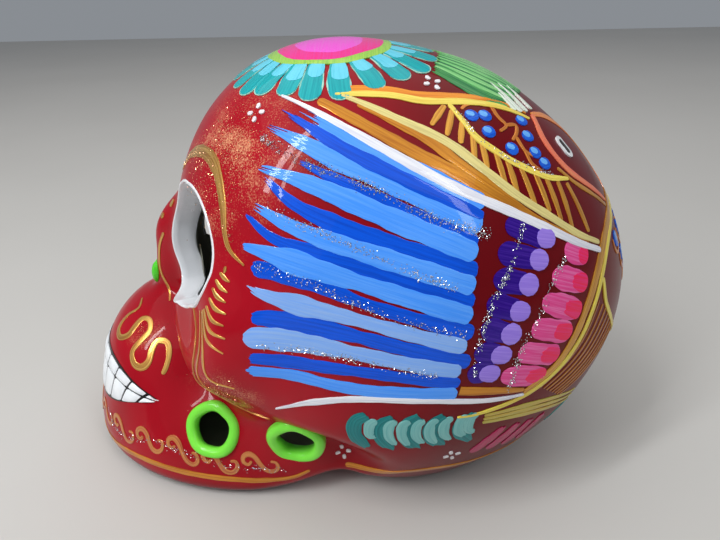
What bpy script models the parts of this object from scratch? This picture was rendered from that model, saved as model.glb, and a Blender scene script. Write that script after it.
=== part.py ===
"""A hollow, hand-pressed clay skull that stands on its own base, with the face towards -Y.

Frame: +Z up, +X on the skull's own left side, origin on the table under the middle of the box.
The skull is pressed in two half moulds that are joined along the middle plane.  Linings are set
into the eye sockets, a rolled collar into each of the four cheek holes, and two strips of teeth
into a shallow pocket round the front of the muzzle.

Every curved surface comes from one formula, `skull_distance`: a smooth union of ellipsoids,
less a hollow under each cheekbone, cut flat at the table with a low arch across the middle.
"""

import math

import bmesh
import bpy
import numpy as np
from mathutils import Matrix, Vector

MM = 0.001

# Ellipsoids of the skull: (centre, radii) in millimetres. Those off the middle are mirrored.
CRANIUM = ((0, 15, 52), (58, 63, 67))
FOREHEAD = ((0, -4, 75), (48, 40, 44.5))
OCCIPUT = ((0, 27, 52), (50, 57, 51))
CHEEKBONE = ((29, -22, 54), (23, 25, 23))
CHEEK_HOLLOW = ((58, -20, 17), (23, 33, 14))
NOSE_BRIDGE = ((0, -43, 63), (7, 15, 16))
MUZZLE = ((0, -54.5, 24.5), (30, 24.5, 25))
JAW = ((0, -27.5, 7), (44.5, 57, 31))
JAW_ANGLE = ((30, -11, 22), (15, 17, 20))
REAR_BASE = ((0, 22, 23), (36, 43, 32))

# How wide each join between two volumes is rounded, in millimetres.
CRANIUM_BLEND = 12
CHEEK_BLEND = 8
HOLLOW_BLEND = 6
BRIDGE_BLEND = 8
JAW_BLEND = 9
ANGLE_BLEND = 8
CREASE_BLEND = 4
REAR_BLEND = 10
BASE_BLEND = 5

# The arch under the middle of the base, in millimetres.
ARCH_Y = -1
ARCH_HALF_WIDTH = 15
ARCH_HEIGHT = 6

WALL = 6.0  # clay thickness, millimetres
FIT_GAP = 0.3  # gap left between pieces that touch, millimetres
CAVITY_CENTRE = np.array((0.0, -16.0, 36.0))  # every surface point is seen from here, millimetres
REACH = 125.0  # further from that centre than any surface, millimetres

SKULL_SEGMENTS, SKULL_RINGS = 68, 42
CAVITY_SEGMENTS, CAVITY_RINGS = 40, 26

# Eye sockets: round openings that look outwards and a little up.
EYE_X, EYE_Z = 28.0, 74.8
EYE_AXIS = Vector((0.58, -0.77, 0.25)).normalized()
EYE_RADIUS = 18.2
EYE_INNER_RADIUS = 16.0
EYE_DEPTH = 9.0
EYE_LINING = 1.6

# Cheek holes: (y, z, outer radius of the collar) in millimetres, two on each side.
CHEEK_HOLES = {"front": (-36.5, 21.5, 8.2), "rear": (-11.5, 23.0, 8.4)}
COLLAR_LIP = 3.2  # width of the rounded lip from the hole's wall to its outer edge
COLLAR_SLEEVE = 1.5
COLLAR_DEPTH = 7.0

# The open vent in the base: an oval.
VENT_HALF_X, VENT_HALF_Y = 22.0, 27.0

# The teeth: two rows between a lip line and a chin line, which meet at the mouth's corners.
MOUTH_HALF_WIDTH = 32.0
MOUTH_MIDDLE_Z = 30.3
MOUTH_CORNER_DROP = 4.5
MOUTH_BOW = 5  # power of the bow: the lines run level at the front and turn down at the corners
UPPER_ROW = 4.6
LOWER_ROW = 10.0
MOUTH_FRONT_Y, MOUTH_BACK_Y = -100.0, -53.0  # the rows are cut out of a prism between these
POCKET_SHORT, TEETH_SHORT = 3.0, 4.0  # how far each ends before the corners of the mouth
TEETH_PROUD = 0.7
TEETH_BEDDED = 1.5

RED = (0.42, 0.012, 0.03, 1.0)
WHITE = (0.85, 0.87, 0.88, 1.0)
GREEN = (0.09, 0.78, 0.03, 1.0)


def ellipsoid(points, shape):
    """Distance to an ellipsoid, negative inside: exact at its surface and close to true near it."""
    centre, radii = (np.array(values, float) for values in shape)
    scaled = (points - centre) / radii
    reach = np.linalg.norm(scaled, axis=-1)
    slope = np.linalg.norm(scaled / radii, axis=-1) + 1e-9
    return reach * (reach - 1.0) / slope


def join(a, b, blend):
    """Smooth union of two distances."""
    mix = np.clip(0.5 + 0.5 * (b - a) / blend, 0.0, 1.0)
    return b * (1.0 - mix) + a * mix - blend * mix * (1.0 - mix)


def cut(a, b, blend):
    """Smooth difference: a without b."""
    return -join(-a, b, blend)


def skull_distance(points):
    """Distance from points, in millimetres, to the skull's outer surface, negative inside."""
    folded = points.copy()
    folded[..., 0] = np.abs(folded[..., 0])
    upper = join(ellipsoid(folded, CRANIUM), ellipsoid(folded, FOREHEAD), CRANIUM_BLEND)
    upper = join(upper, ellipsoid(folded, OCCIPUT), CRANIUM_BLEND)
    upper = join(upper, ellipsoid(folded, CHEEKBONE), CHEEK_BLEND)
    upper = cut(upper, ellipsoid(folded, CHEEK_HOLLOW), HOLLOW_BLEND)
    upper = join(upper, ellipsoid(folded, NOSE_BRIDGE), BRIDGE_BLEND)
    lower = join(ellipsoid(folded, MUZZLE), ellipsoid(folded, JAW), JAW_BLEND)
    lower = join(lower, ellipsoid(folded, JAW_ANGLE), ANGLE_BLEND)
    whole = join(upper, lower, CREASE_BLEND)
    whole = join(whole, ellipsoid(folded, REAR_BASE), REAR_BLEND)
    arch = ARCH_HEIGHT * np.exp(-(((folded[..., 1] - ARCH_Y) / ARCH_HALF_WIDTH) ** 2))
    return cut(whole, folded[..., 2] - arch, BASE_BLEND)


def surface_points(directions, level):
    """Where rays from the cavity's centre last cross the given distance level, in millimetres."""
    outer = np.full(len(directions), REACH)
    inner = np.zeros(len(directions))
    found = np.zeros(len(directions), bool)
    for radius in np.linspace(REACH, 2.0, 60):
        inside = skull_distance(CAVITY_CENTRE + directions * radius) < level
        newly = inside & ~found
        inner[newly] = radius
        found |= inside
        outer[~found] = radius
    for _ in range(30):
        middle = (inner + outer) / 2
        inside = skull_distance(CAVITY_CENTRE + directions * middle[:, None]) < level
        inner = np.where(inside, middle, inner)
        outer = np.where(inside, outer, middle)
    return CAVITY_CENTRE + directions * inner[:, None]


def surface_normal(point):
    """Outward unit normal of the skull at a point in millimetres."""
    steps = np.eye(3) * 0.05
    ahead = skull_distance(np.array(point) + steps)
    behind = skull_distance(np.array(point) - steps)
    return Vector(ahead - behind).normalized()


def side_point(y, z):
    """The outermost point on the skull's left side at this y and z, in millimetres."""
    across = np.linspace(0.0, 70.0, 7001)
    line = np.stack([across, np.full_like(across, y), np.full_like(across, z)], axis=-1)
    return line[skull_distance(line) < 0][-1]


def front_point(x, z):
    """The foremost point of the skull at this x and z, in millimetres."""
    along = np.linspace(0.0, -90.0, 9001)
    line = np.stack([np.full_like(along, x), along, np.full_like(along, z)], axis=-1)
    return line[skull_distance(line) < 0][-1]


def clear_scene():
    for old in list(bpy.data.objects):
        bpy.data.objects.remove(old, do_unlink=True)


def new_collection(name):
    collection = bpy.data.collections.new(name)
    bpy.context.scene.collection.children.link(collection)
    return collection


def material(name, colour, roughness):
    made = bpy.data.materials.new(name)
    made.use_nodes = True
    shader = made.node_tree.nodes["Principled BSDF"]
    shader.inputs["Base Color"].default_value = colour
    shader.inputs["Roughness"].default_value = roughness
    shader.inputs["Metallic"].default_value = 0.0
    return made


def object_from(bm, name, collection, finish=None):
    mesh = bpy.data.meshes.new(name)
    bmesh.ops.recalc_face_normals(bm, faces=bm.faces)
    bm.to_mesh(mesh)
    bm.free()
    made = bpy.data.objects.new(name, mesh)
    collection.objects.link(made)
    if finish:
        mesh.materials.append(finish)
        mesh.shade_smooth()
        mesh.set_sharp_from_angle(angle=math.radians(40))
    else:
        made.hide_render = True
        made.display_type = "WIRE"
    return made


def skull_solid(name, level, collection, segments, rings, finish=None):
    """A closed solid at a distance level: a sphere whose points are moved out to the formula."""
    bm = bmesh.new()
    bmesh.ops.create_uvsphere(bm, u_segments=segments, v_segments=rings, radius=1.0)
    directions = np.array([vert.co.normalized() for vert in bm.verts])
    for vert, point in zip(bm.verts, surface_points(directions, level)):
        vert.co = Vector(point) * MM
    return object_from(bm, name, collection, finish)


def box(name, low, high, collection):
    """A closed box between two corners in millimetres."""
    bm = bmesh.new()
    bmesh.ops.create_cube(bm, size=1.0)
    low, high = Vector(low) * MM, Vector(high) * MM
    for vert in bm.verts:
        vert.co = Vector(low[i] if vert.co[i] < 0 else high[i] for i in range(3))
    return object_from(bm, name, collection)


def axis_matrix(point, axis):
    """A frame whose +Z runs along axis, standing at a point in millimetres."""
    turn = Vector(axis).to_track_quat("Z", "Y").to_matrix().to_4x4()
    return Matrix.Translation(Vector(point) * MM) @ turn


def turned(name, profile, frame, steps, collection, finish=None):
    """A closed profile of (radius, height) in millimetres, turned about its frame's Z."""
    bm = bmesh.new()
    ring = [bm.verts.new((radius * MM, 0, height * MM)) for radius, height in profile]
    edges = [bm.edges.new(pair) for pair in zip(ring, ring[1:] + ring[:1])]
    bmesh.ops.spin(
        bm,
        geom=ring + edges,
        axis=(0, 0, 1),
        cent=(0, 0, 0),
        angle=math.tau,
        steps=steps,
        use_merge=True,
    )
    bmesh.ops.remove_doubles(bm, verts=bm.verts, dist=1e-6)
    made = object_from(bm, name, collection, finish)
    made.matrix_world = frame
    return made


def plug(name, discs, frame, steps, collection):
    """A solid of stacked discs, each (radius, height) in millimetres, about its frame's Z."""
    bm = bmesh.new()
    rings = []
    for radius, height in discs:
        made = bmesh.ops.create_circle(bm, segments=steps, radius=radius * MM)
        bmesh.ops.translate(bm, verts=made["verts"], vec=(0, 0, height * MM))
        rings.append(made["verts"])
    for lower, upper in zip(rings, rings[1:]):
        for i in range(steps):
            j = (i + 1) % steps
            bm.faces.new((lower[i], lower[j], upper[j], upper[i]))
    bm.faces.new(rings[0])
    bm.faces.new(rings[-1])
    made = object_from(bm, name, collection)
    made.matrix_world = frame
    return made


def boolean(target, operation, tool):
    modifier = target.modifiers.new(f"{operation.lower()} {tool.name}", "BOOLEAN")
    modifier.operation = operation
    modifier.solver = "EXACT"
    modifier.object = tool


def mirrored(frame):
    """The same frame on the skull's right side."""
    flip = Matrix.Diagonal((-1, 1, 1, 1))
    return flip @ frame @ flip


def eye_frame():
    """Stands on the socket's mouth, its Z pointing out of the skull."""
    return axis_matrix(front_point(EYE_X, EYE_Z), EYE_AXIS)


def collar_frame(y, z):
    point = side_point(y, z)
    return axis_matrix(point, surface_normal(point))


def make_eye_lining(name, frame, skin, collection, finish):
    """A short tube, cut to the skull's own curve at its mouth."""
    inner = EYE_INNER_RADIUS
    profile = [
        (EYE_RADIUS + 1.5, 14.0),
        (EYE_RADIUS, 0.0),
        (inner + EYE_LINING, -EYE_DEPTH),
        (inner - 0.6, -EYE_DEPTH),
        (inner, -2.0),
        (inner + 3.0, 14.0),
    ]
    lining = turned(name, profile, frame, 40, collection, finish)
    boolean(lining, "INTERSECT", skin)
    return lining


def eye_cutter(name, frame, collection):
    gap = FIT_GAP
    discs = [
        (EYE_INNER_RADIUS + EYE_LINING + gap, -EYE_DEPTH - 8.0),
        (EYE_INNER_RADIUS + EYE_LINING + gap, -EYE_DEPTH),
        (EYE_RADIUS + gap, 0.0),
        (EYE_RADIUS + 1.5 + gap, 14.0),
    ]
    return plug(name, discs, frame, 40, collection)


def make_collar(name, outer, frame, collection, finish):
    """A rolled collar: a rounded lip that stands proud, and a sleeve through the wall."""
    hole = outer - COLLAR_LIP
    middle = outer - COLLAR_LIP / 2
    lip = [
        (middle - COLLAR_LIP / 2 * math.cos(turn), 0.2 + COLLAR_LIP / 2 * math.sin(turn))
        for turn in np.linspace(0.0, math.pi, 7)
    ]
    profile = [(hole + 0.3, -COLLAR_DEPTH)]
    profile += lip
    profile += [
        (outer, -1.2),
        (hole + COLLAR_SLEEVE, -1.2),
        (hole + COLLAR_SLEEVE, -COLLAR_DEPTH),
    ]
    return turned(name, profile, frame, 24, collection, finish)


def collar_cutter(name, outer, frame, collection):
    sleeve = outer - COLLAR_LIP + COLLAR_SLEEVE + FIT_GAP
    seat = -1.2 - FIT_GAP
    discs = [
        (sleeve, -COLLAR_DEPTH - 8.0),
        (sleeve, seat),
        (outer + FIT_GAP, seat),
        (outer + FIT_GAP, 12.0),
    ]
    return plug(name, discs, frame, 24, collection)


def mouth_edge(x, rise):
    """Height of a tooth line at x: it drops towards the corners, where all the lines meet."""
    bow = min(1.0, abs(x) / MOUTH_HALF_WIDTH) ** MOUTH_BOW
    return MOUTH_MIDDLE_Z - MOUTH_CORNER_DROP * bow + rise * (1.0 - bow)


def mouth_prism(name, low_rise, high_rise, half_width, collection):
    """A prism along Y between two tooth lines, from before the muzzle to short of the crease."""
    across = np.linspace(-half_width, half_width, 17)
    outline = [(x, mouth_edge(x, low_rise)) for x in across]
    outline += [(x, mouth_edge(x, high_rise)) for x in across[::-1]]
    bm = bmesh.new()
    face = bm.faces.new([bm.verts.new((x * MM, MOUTH_FRONT_Y * MM, z * MM)) for x, z in outline])
    sides = bmesh.ops.extrude_face_region(bm, geom=[face])
    moved = [item for item in sides["geom"] if isinstance(item, bmesh.types.BMVert)]
    depth = (MOUTH_BACK_Y - MOUTH_FRONT_Y) * MM
    bmesh.ops.translate(bm, verts=moved, vec=(0, depth, 0))
    return object_from(bm, name, collection)


def build():
    clear_scene()
    parts = new_collection("painted_clay_skull")
    cutters = new_collection("cutters")
    cutters.hide_render = True

    red = material("red_glazed_clay", RED, 0.25)
    white = material("white_glazed_clay", WHITE, 0.3)
    green = material("green_glazed_clay", GREEN, 0.25)

    cavity = skull_solid("cavity_cutter", -WALL, cutters, CAVITY_SEGMENTS, CAVITY_RINGS)
    skin = skull_solid("skin_guide", 0.4, cutters, SKULL_SEGMENTS, SKULL_RINGS)
    bed = skull_solid("teeth_bed_guide", -TEETH_BEDDED, cutters, SKULL_SEGMENTS, SKULL_RINGS)
    floor = skull_solid(
        "teeth_pocket_guide", -TEETH_BEDDED - FIT_GAP, cutters, SKULL_SEGMENTS, SKULL_RINGS
    )
    crowns = skull_solid("teeth_crown_guide", TEETH_PROUD, cutters, SKULL_SEGMENTS, SKULL_RINGS)
    vent = plug("vent_cutter", [(1000.0, -5.0), (1000.0, 16.0)], Matrix(), 32, cutters)
    vent.scale = (VENT_HALF_X * MM, VENT_HALF_Y * MM, 1.0)

    gap = FIT_GAP / 2
    pocket = mouth_prism(
        "teeth_pocket_cutter",
        -LOWER_ROW - FIT_GAP,
        UPPER_ROW + FIT_GAP,
        MOUTH_HALF_WIDTH - POCKET_SHORT,
        cutters,
    )
    boolean(pocket, "DIFFERENCE", floor)
    rows = {"lower_teeth": (-LOWER_ROW, -gap), "upper_teeth": (gap, UPPER_ROW)}
    for name, (low, high) in rows.items():
        teeth = mouth_prism(name, low, high, MOUTH_HALF_WIDTH - TEETH_SHORT, parts)
        teeth.hide_render = False
        teeth.display_type = "TEXTURED"
        teeth.data.materials.append(white)
        boolean(teeth, "INTERSECT", crowns)
        boolean(teeth, "DIFFERENCE", bed)

    for side, sign in (("left", 1), ("right", -1)):
        half = skull_solid(f"{side}_half", 0.0, parts, SKULL_SEGMENTS, SKULL_RINGS, red)
        reach = sign * REACH
        seam = sign * gap
        ends = sorted((seam, reach))
        side_box = box(
            f"{side}_side", (ends[0], -REACH, -10), (ends[1], REACH, 2 * REACH), cutters
        )
        boolean(half, "INTERSECT", side_box)
        boolean(half, "DIFFERENCE", cavity)
        boolean(half, "DIFFERENCE", vent)
        boolean(half, "DIFFERENCE", pocket)

        place = eye_frame() if sign > 0 else mirrored(eye_frame())
        make_eye_lining(f"{side}_eye_lining", place, skin, parts, white)
        boolean(half, "DIFFERENCE", eye_cutter(f"{side}_eye_cutter", place, cutters))
        for where, (y, z, outer) in CHEEK_HOLES.items():
            place = collar_frame(y, z) if sign > 0 else mirrored(collar_frame(y, z))
            make_collar(f"{side}_{where}_cheek_collar", outer, place, parts, green)
            cutter = collar_cutter(f"{side}_{where}_collar_cutter", outer, place, cutters)
            boolean(half, "DIFFERENCE", cutter)


build()
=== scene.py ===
"""Looks of the painted clay skull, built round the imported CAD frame.

The clay is the same smooth formula as the CAD model, at a finer step and with the slight
unevenness of a hand-pressed wall.  Everything painted is a film with a real thickness that
follows a curve over the clay, with round or bristly ends.  Lengths are millimetres until a mesh is made.
The decoration is listed for the skull's left side (+X) and painted again on the right.
"""

import math

import bmesh
import bpy
import numpy as np
from mathutils import Matrix, Vector

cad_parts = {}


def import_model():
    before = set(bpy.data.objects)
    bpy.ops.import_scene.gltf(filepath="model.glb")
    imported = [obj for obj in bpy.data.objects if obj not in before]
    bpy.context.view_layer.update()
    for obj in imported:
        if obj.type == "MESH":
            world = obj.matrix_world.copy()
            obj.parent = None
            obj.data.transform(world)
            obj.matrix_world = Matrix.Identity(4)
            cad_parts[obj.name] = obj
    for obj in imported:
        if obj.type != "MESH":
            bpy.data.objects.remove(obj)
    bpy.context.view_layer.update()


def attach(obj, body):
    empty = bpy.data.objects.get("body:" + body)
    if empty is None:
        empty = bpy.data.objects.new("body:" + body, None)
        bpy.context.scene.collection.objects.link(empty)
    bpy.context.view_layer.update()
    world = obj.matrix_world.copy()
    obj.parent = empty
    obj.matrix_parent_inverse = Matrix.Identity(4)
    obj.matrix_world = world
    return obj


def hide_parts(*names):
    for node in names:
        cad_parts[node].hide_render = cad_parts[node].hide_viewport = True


MM = 0.001
SIDES = (1, -1)  # left and right

# ---------------------------------------------------------------- the clay's form
# Ellipsoids (centre, radii), as in the CAD model. Those off the middle are mirrored.
CRANIUM = ((0, 15, 52), (58, 63, 67))
FOREHEAD = ((0, -4, 75), (48, 40, 44.5))
OCCIPUT = ((0, 27, 52), (50, 57, 51))
CHEEKBONE = ((29, -22, 54), (23, 25, 23))
CHEEK_HOLLOW = ((58, -20, 17), (23, 33, 14))
NOSE_BRIDGE = ((0, -43, 63), (7, 15, 16))
MUZZLE = ((0, -54.5, 24.5), (30, 24.5, 25))
JAW = ((0, -27.5, 7), (44.5, 57, 31))
JAW_ANGLE = ((30, -11, 22), (15, 17, 20))
REAR_BASE = ((0, 22, 23), (36, 43, 32))
CRANIUM_BLEND = 12
CHEEK_BLEND = 8
HOLLOW_BLEND = 6
BRIDGE_BLEND = 8
JAW_BLEND = 9
ANGLE_BLEND = 8
CREASE_BLEND = 4
REAR_BLEND = 10
BASE_BLEND = 5
ARCH_Y, ARCH_HALF_WIDTH, ARCH_HEIGHT = -1, 15, 6

WALL = 6.0
CENTRE = np.array((0.0, -16.0, 36.0))  # every surface point is seen from here
REACH = 125.0
SKIN_SEGMENTS, SKIN_RINGS = 380, 230
CAVITY_SEGMENTS, CAVITY_RINGS = 120, 80
UNEVENNESS = 0.22  # height of the hand-made waves in the wall
SOCKET_DISH = ((52, -62.5, 64.5), (30, 30, 30))  # the shallow dish pressed in below each eye
DISH_BLEND = 8
NOSE_TIP = ((0, -52, 52.5), (5.5, 7, 8))
TIP_BLEND = 6

EYE_X, EYE_Z = 28.0, 74.8
EYE_AXIS = np.array((0.58, -0.77, 0.25))
EYE_DEPTH = 6.8
# Each cheek hole's place along and up the side, and its collar's outer radius.
CHEEK_HOLES = {"front": (-36.5, 21.5, 8.2), "rear": (-11.5, 23.0, 8.4)}
COLLAR_LIP = 3.2
COLLAR_DEPTH = 3.6  # less than in the CAD, so that the hollow shows behind it
VENT_HALF_X, VENT_HALF_Y = 22.0, 27.0

MOUTH_HALF_WIDTH = 32.0
MOUTH_MIDDLE_Z = 30.3
MOUTH_CORNER_DROP = 4.5
MOUTH_BOW = 5
UPPER_ROW = 4.6
LOWER_ROW = 10.0

# ---------------------------------------------------------------- paint films
BEDDED = 0.12  # how far a film's underside lies in the clay
FILM = 0.05
UNDER, PAINT, OVER, TOP, LAST = 0.05, 0.11, 0.17, 0.23, 0.29  # heights of successive coats


def ellipsoid(points, shape):
    """Distance to an ellipsoid, negative inside: exact at its surface and close to true near it."""
    centre, radii = (np.array(values, float) for values in shape)
    scaled = (points - centre) / radii
    reach = np.linalg.norm(scaled, axis=-1)
    slope = np.linalg.norm(scaled / radii, axis=-1) + 1e-9
    return reach * (reach - 1.0) / slope


def join(a, b, blend):
    """Smooth union of two distances."""
    mix = np.clip(0.5 + 0.5 * (b - a) / blend, 0.0, 1.0)
    return b * (1.0 - mix) + a * mix - blend * mix * (1.0 - mix)


def cut(a, b, blend):
    """Smooth difference: a without b."""
    return -join(-a, b, blend)


def skull_distance(points):
    """Distance from points to the skull's outer surface, negative inside."""
    folded = points.copy()
    folded[..., 0] = np.abs(folded[..., 0])
    upper = join(ellipsoid(folded, CRANIUM), ellipsoid(folded, FOREHEAD), CRANIUM_BLEND)
    upper = join(upper, ellipsoid(folded, OCCIPUT), CRANIUM_BLEND)
    upper = join(upper, ellipsoid(folded, CHEEKBONE), CHEEK_BLEND)
    upper = cut(upper, ellipsoid(folded, CHEEK_HOLLOW), HOLLOW_BLEND)
    upper = join(upper, ellipsoid(folded, NOSE_BRIDGE), BRIDGE_BLEND)
    lower = join(ellipsoid(folded, MUZZLE), ellipsoid(folded, JAW), JAW_BLEND)
    lower = join(lower, ellipsoid(folded, JAW_ANGLE), ANGLE_BLEND)
    whole = join(upper, lower, CREASE_BLEND)
    whole = join(whole, ellipsoid(folded, REAR_BASE), REAR_BLEND)
    arch = ARCH_HEIGHT * np.exp(-(((folded[..., 1] - ARCH_Y) / ARCH_HALF_WIDTH) ** 2))
    return cut(whole, folded[..., 2] - arch, BASE_BLEND)


def skin_distance(points):
    """The skull's surface as pressed by hand: dished sockets, and waves that fade at the base."""
    x, y, z = points[..., 0], points[..., 1], points[..., 2]
    waves = np.sin(x / 9.0 + 1.3) * np.sin(y / 11.0 + 0.4) * np.sin(z / 10.0 + 2.1)
    waves = waves + 0.5 * np.sin(x / 4.7 + 0.6) * np.sin(y / 5.3 + 1.9) * np.sin(z / 5.9)
    fade = np.clip((z - 4.0) / 8.0, 0.0, 1.0) * np.clip((118.0 - z) / 10.0, 0.0, 1.0)
    folded = np.stack([np.abs(x), y, z], axis=-1)
    skull = join(skull_distance(points), ellipsoid(folded, NOSE_TIP), TIP_BLEND)
    skull = cut(skull, ellipsoid(folded, SOCKET_DISH), DISH_BLEND)
    return skull + UNEVENNESS * fade * (waves + 0.6)


def slope(points):
    """The gradient of the skin's distance: it points straight out of the clay."""
    step = 0.06
    probes = np.concatenate([np.eye(3), -np.eye(3)]) * step
    heights = skin_distance(np.asarray(points)[..., None, :] + probes)
    return (heights[..., :3] - heights[..., 3:]) / (2 * step)


def unit(vectors):
    """The vectors at length 1."""
    return vectors / (np.linalg.norm(vectors, axis=-1, keepdims=True) + 1e-12)


def onto_skin(points, rounds=3):
    """The points moved onto the skin along its slope."""
    points = np.array(points, float)
    for _ in range(rounds):
        grade = slope(points)
        share = skin_distance(points) / (np.sum(grade**2, axis=-1) + 1e-9)
        points = points - grade * share[..., None]
    return points


def ray_points(directions, distance, level):
    """Where rays from the middle of the cavity last cross a distance level."""
    outer = np.full(len(directions), REACH)
    inner = np.zeros(len(directions))
    found = np.zeros(len(directions), bool)
    for radius in np.linspace(REACH, 2.0, 60):
        inside = distance(CENTRE + directions * radius) < level
        inner[inside & ~found] = radius
        found |= inside
        outer[~found] = radius
    for _ in range(18):
        middle = (inner + outer) / 2
        inside = distance(CENTRE + directions * middle[:, None]) < level
        inner = np.where(inside, middle, inner)
        outer = np.where(inside, outer, middle)
    return CENTRE + directions * inner[:, None]


def last_inside(start, direction, reach, steps=1200):
    """The last point of the clay along a line from start."""
    line = np.array(start, float) + np.linspace(0, reach, steps)[:, None] * np.array(direction)
    return line[skull_distance(line) < 0][-1]


# ---------------------------------------------------------------- materials
def node(made, kind, inputs=None, **settings):
    """A shader node with its settings, and its inputs set or linked."""
    new = made.node_tree.nodes.new(kind)
    for name, value in settings.items():
        setattr(new, name, value)
    for name, value in (inputs or {}).items():
        if isinstance(value, bpy.types.NodeSocket):
            made.node_tree.links.new(value, new.inputs[name])
        else:
            new.inputs[name].default_value = value
    return new


def principled(name, roughness, metallic=0.0, coat=0.6):
    """A material and its shader: with a coat, the lacquer gives nearly all of the shine."""
    made = bpy.data.materials.new(name)
    made.use_nodes = True
    shader = made.node_tree.nodes["Principled BSDF"]
    shader.inputs["Roughness"].default_value = roughness
    shader.inputs["Metallic"].default_value = metallic
    shader.inputs["Specular IOR Level"].default_value = 0.05 if coat else 0.5
    shader.inputs["Coat Weight"].default_value = coat
    shader.inputs["Coat IOR"].default_value = 1.42
    shader.inputs["Coat Roughness"].default_value = 0.04
    return made, shader


def mixed(made, factor, first, second):
    """A colour between two, each a colour or a socket."""
    blend = node(made, "ShaderNodeMix", {0: factor}, data_type="RGBA")
    for index, value in ((6, first), (7, second)):
        if isinstance(value, bpy.types.NodeSocket):
            made.node_tree.links.new(value, blend.inputs[index])
        else:
            blend.inputs[index].default_value = (*value, 1.0)
    return blend.outputs[2]


def spread(made, value, low, high):
    """A value stretched so that low gives 0 and high gives 1."""
    inputs = {"Value": value, "From Min": low, "From Max": high}
    return node(made, "ShaderNodeMapRange", inputs).outputs[0]


def noise(made, vector, scale, detail=3.0):
    """Cloudy noise, as one value from 0 to 1."""
    inputs = {"Vector": vector, "Scale": scale, "Detail": detail}
    return node(made, "ShaderNodeTexNoise", inputs).outputs["Fac"]


def brushed(name, colour, second, roughness=0.38, metallic=0.0, streaks=(0.42, 0.66), ridges=0.3):
    """Brush paint under lacquer: two tones streaked along each stroke, with fine ridges."""
    made, shader = principled(name, roughness, metallic)
    along = node(made, "ShaderNodeAttribute", attribute_name="stroke").outputs["Vector"]
    inputs = {0: along, 1: (0.07, 2.1, 31.0)}
    stretched = node(made, "ShaderNodeVectorMath", inputs, operation="MULTIPLY").outputs[0]
    bristles = noise(made, stretched, 1.0)
    tone = mixed(made, spread(made, bristles, *streaks), colour, second)
    link = made.node_tree.links.new
    link(tone, shader.inputs["Base Color"])
    inputs = {"Height": bristles, "Strength": ridges, "Distance": 0.0002}
    link(node(made, "ShaderNodeBump", inputs).outputs[0], shader.inputs["Normal"])
    return made


def patch_mask(made, place, centre, inner, outer):
    """1 within inner of a point in millimetres, 0 beyond outer."""
    inputs = {0: place, 1: [value * MM for value in centre]}
    away = node(made, "ShaderNodeVectorMath", inputs, operation="DISTANCE").outputs["Value"]
    return spread(made, away, outer * MM, inner * MM)


def crimson_lacquer():
    """Crimson under lacquer: deeper in places at random, with painted shade darkening it towards the back
    and a darker band along the bottom edge, and rubbed with gold dust on brow and cheek.
    """
    made, shader = principled("crimson_lacquer", 0.34, coat=0.35)
    link = made.node_tree.links.new
    place = node(made, "ShaderNodeTexCoord").outputs["Object"]
    clouds = noise(made, place, 28.0)
    red = mixed(made, spread(made, clouds, 0.35, 0.7), (0.43, 0.003, 0.014), (0.33, 0.002, 0.009))
    where = node(made, "ShaderNodeSeparateXYZ", {0: place})
    # Painted shade: the crimson darkens towards the back of the skull.
    rear = spread(made, where.outputs["Y"], -0.012, 0.030)
    red = mixed(made, rear, red, (0.14, 0.0005, 0.003))
    # Darker along the bottom edge.
    low = spread(made, where.outputs["Z"], 0.006, 0.002)
    red = mixed(made, low, red, (0.13, 0.002, 0.006))
    dust = noise(made, place, 2600.0, 3.0)
    blots = noise(made, place, 120.0, 4.0)
    rubbed = None
    patches = [
        ((33, -24, 99), 4, 27),
        ((46, -29, 42), 2, 14),
        ((36, -41, 36), 1, 10),
        ((24, -60, 47), 1, 10),
    ]
    for centre, inner, outer in patches:
        for sign in SIDES:
            spot = patch_mask(made, place, (sign * centre[0], *centre[1:]), inner, outer)
            if rubbed is None:
                rubbed = spot
            else:
                rubbed = node(
                    made, "ShaderNodeMath", {0: rubbed, 1: spot}, operation="MAXIMUM"
                ).outputs[0]
    spotted = node(made, "ShaderNodeMath", {0: dust, 1: blots}, operation="ADD").outputs[0]
    spotted = spread(made, spotted, 1.04, 1.34)
    rubbed = node(made, "ShaderNodeMath", {0: rubbed, 1: spotted}, operation="MULTIPLY").outputs[0]
    red = mixed(made, rubbed, red, (0.80, 0.38, 0.20))
    link(red, shader.inputs["Base Color"])
    ripple = noise(made, place, 75.0, 2.0)
    inputs = {"Height": ripple, "Strength": 0.25, "Distance": 0.0006}
    link(node(made, "ShaderNodeBump", inputs).outputs[0], shader.inputs["Normal"])
    return made


def glazed(name, colour, second, scale=60.0, roughness=0.3, ripple_height=0.0004):
    """A glossy coat with slow changes of tone and a slightly uneven surface."""
    made, shader = principled(name, roughness)
    link = made.node_tree.links.new
    place = node(made, "ShaderNodeTexCoord").outputs["Object"]
    clouds = noise(made, place, scale)
    link(mixed(made, spread(made, clouds, 0.35, 0.7), colour, second), shader.inputs["Base Color"])
    inputs = {"Height": noise(made, place, 140.0, 2.0), "Strength": 0.3, "Distance": ripple_height}
    link(node(made, "ShaderNodeBump", inputs).outputs[0], shader.inputs["Normal"])
    return made


def sparkle(name, colour, second):
    """Metal-coated glitter grains of two tones."""
    made, shader = principled(name, 0.22, metallic=1.0, coat=0.0)
    along = node(made, "ShaderNodeAttribute", attribute_name="stroke").outputs["Vector"]
    grain = node(made, "ShaderNodeSeparateXYZ", {0: along}).outputs["Z"]
    tone = mixed(made, grain, colour, second)
    made.node_tree.links.new(tone, shader.inputs["Base Color"])
    return made


# ---------------------------------------------------------------- meshes
def object_from(name, points, faces, finishes):
    """A smooth-shaded object from points in millimetres."""
    mesh = bpy.data.meshes.new(name)
    mesh.from_pydata((np.asarray(points) * MM).tolist(), [], faces)
    for finish in finishes:
        mesh.materials.append(finish)
    mesh.shade_smooth()
    mesh.set_sharp_from_angle(angle=math.radians(40))
    made = bpy.data.objects.new(name, mesh)
    bpy.context.scene.collection.objects.link(made)
    return made


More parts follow.
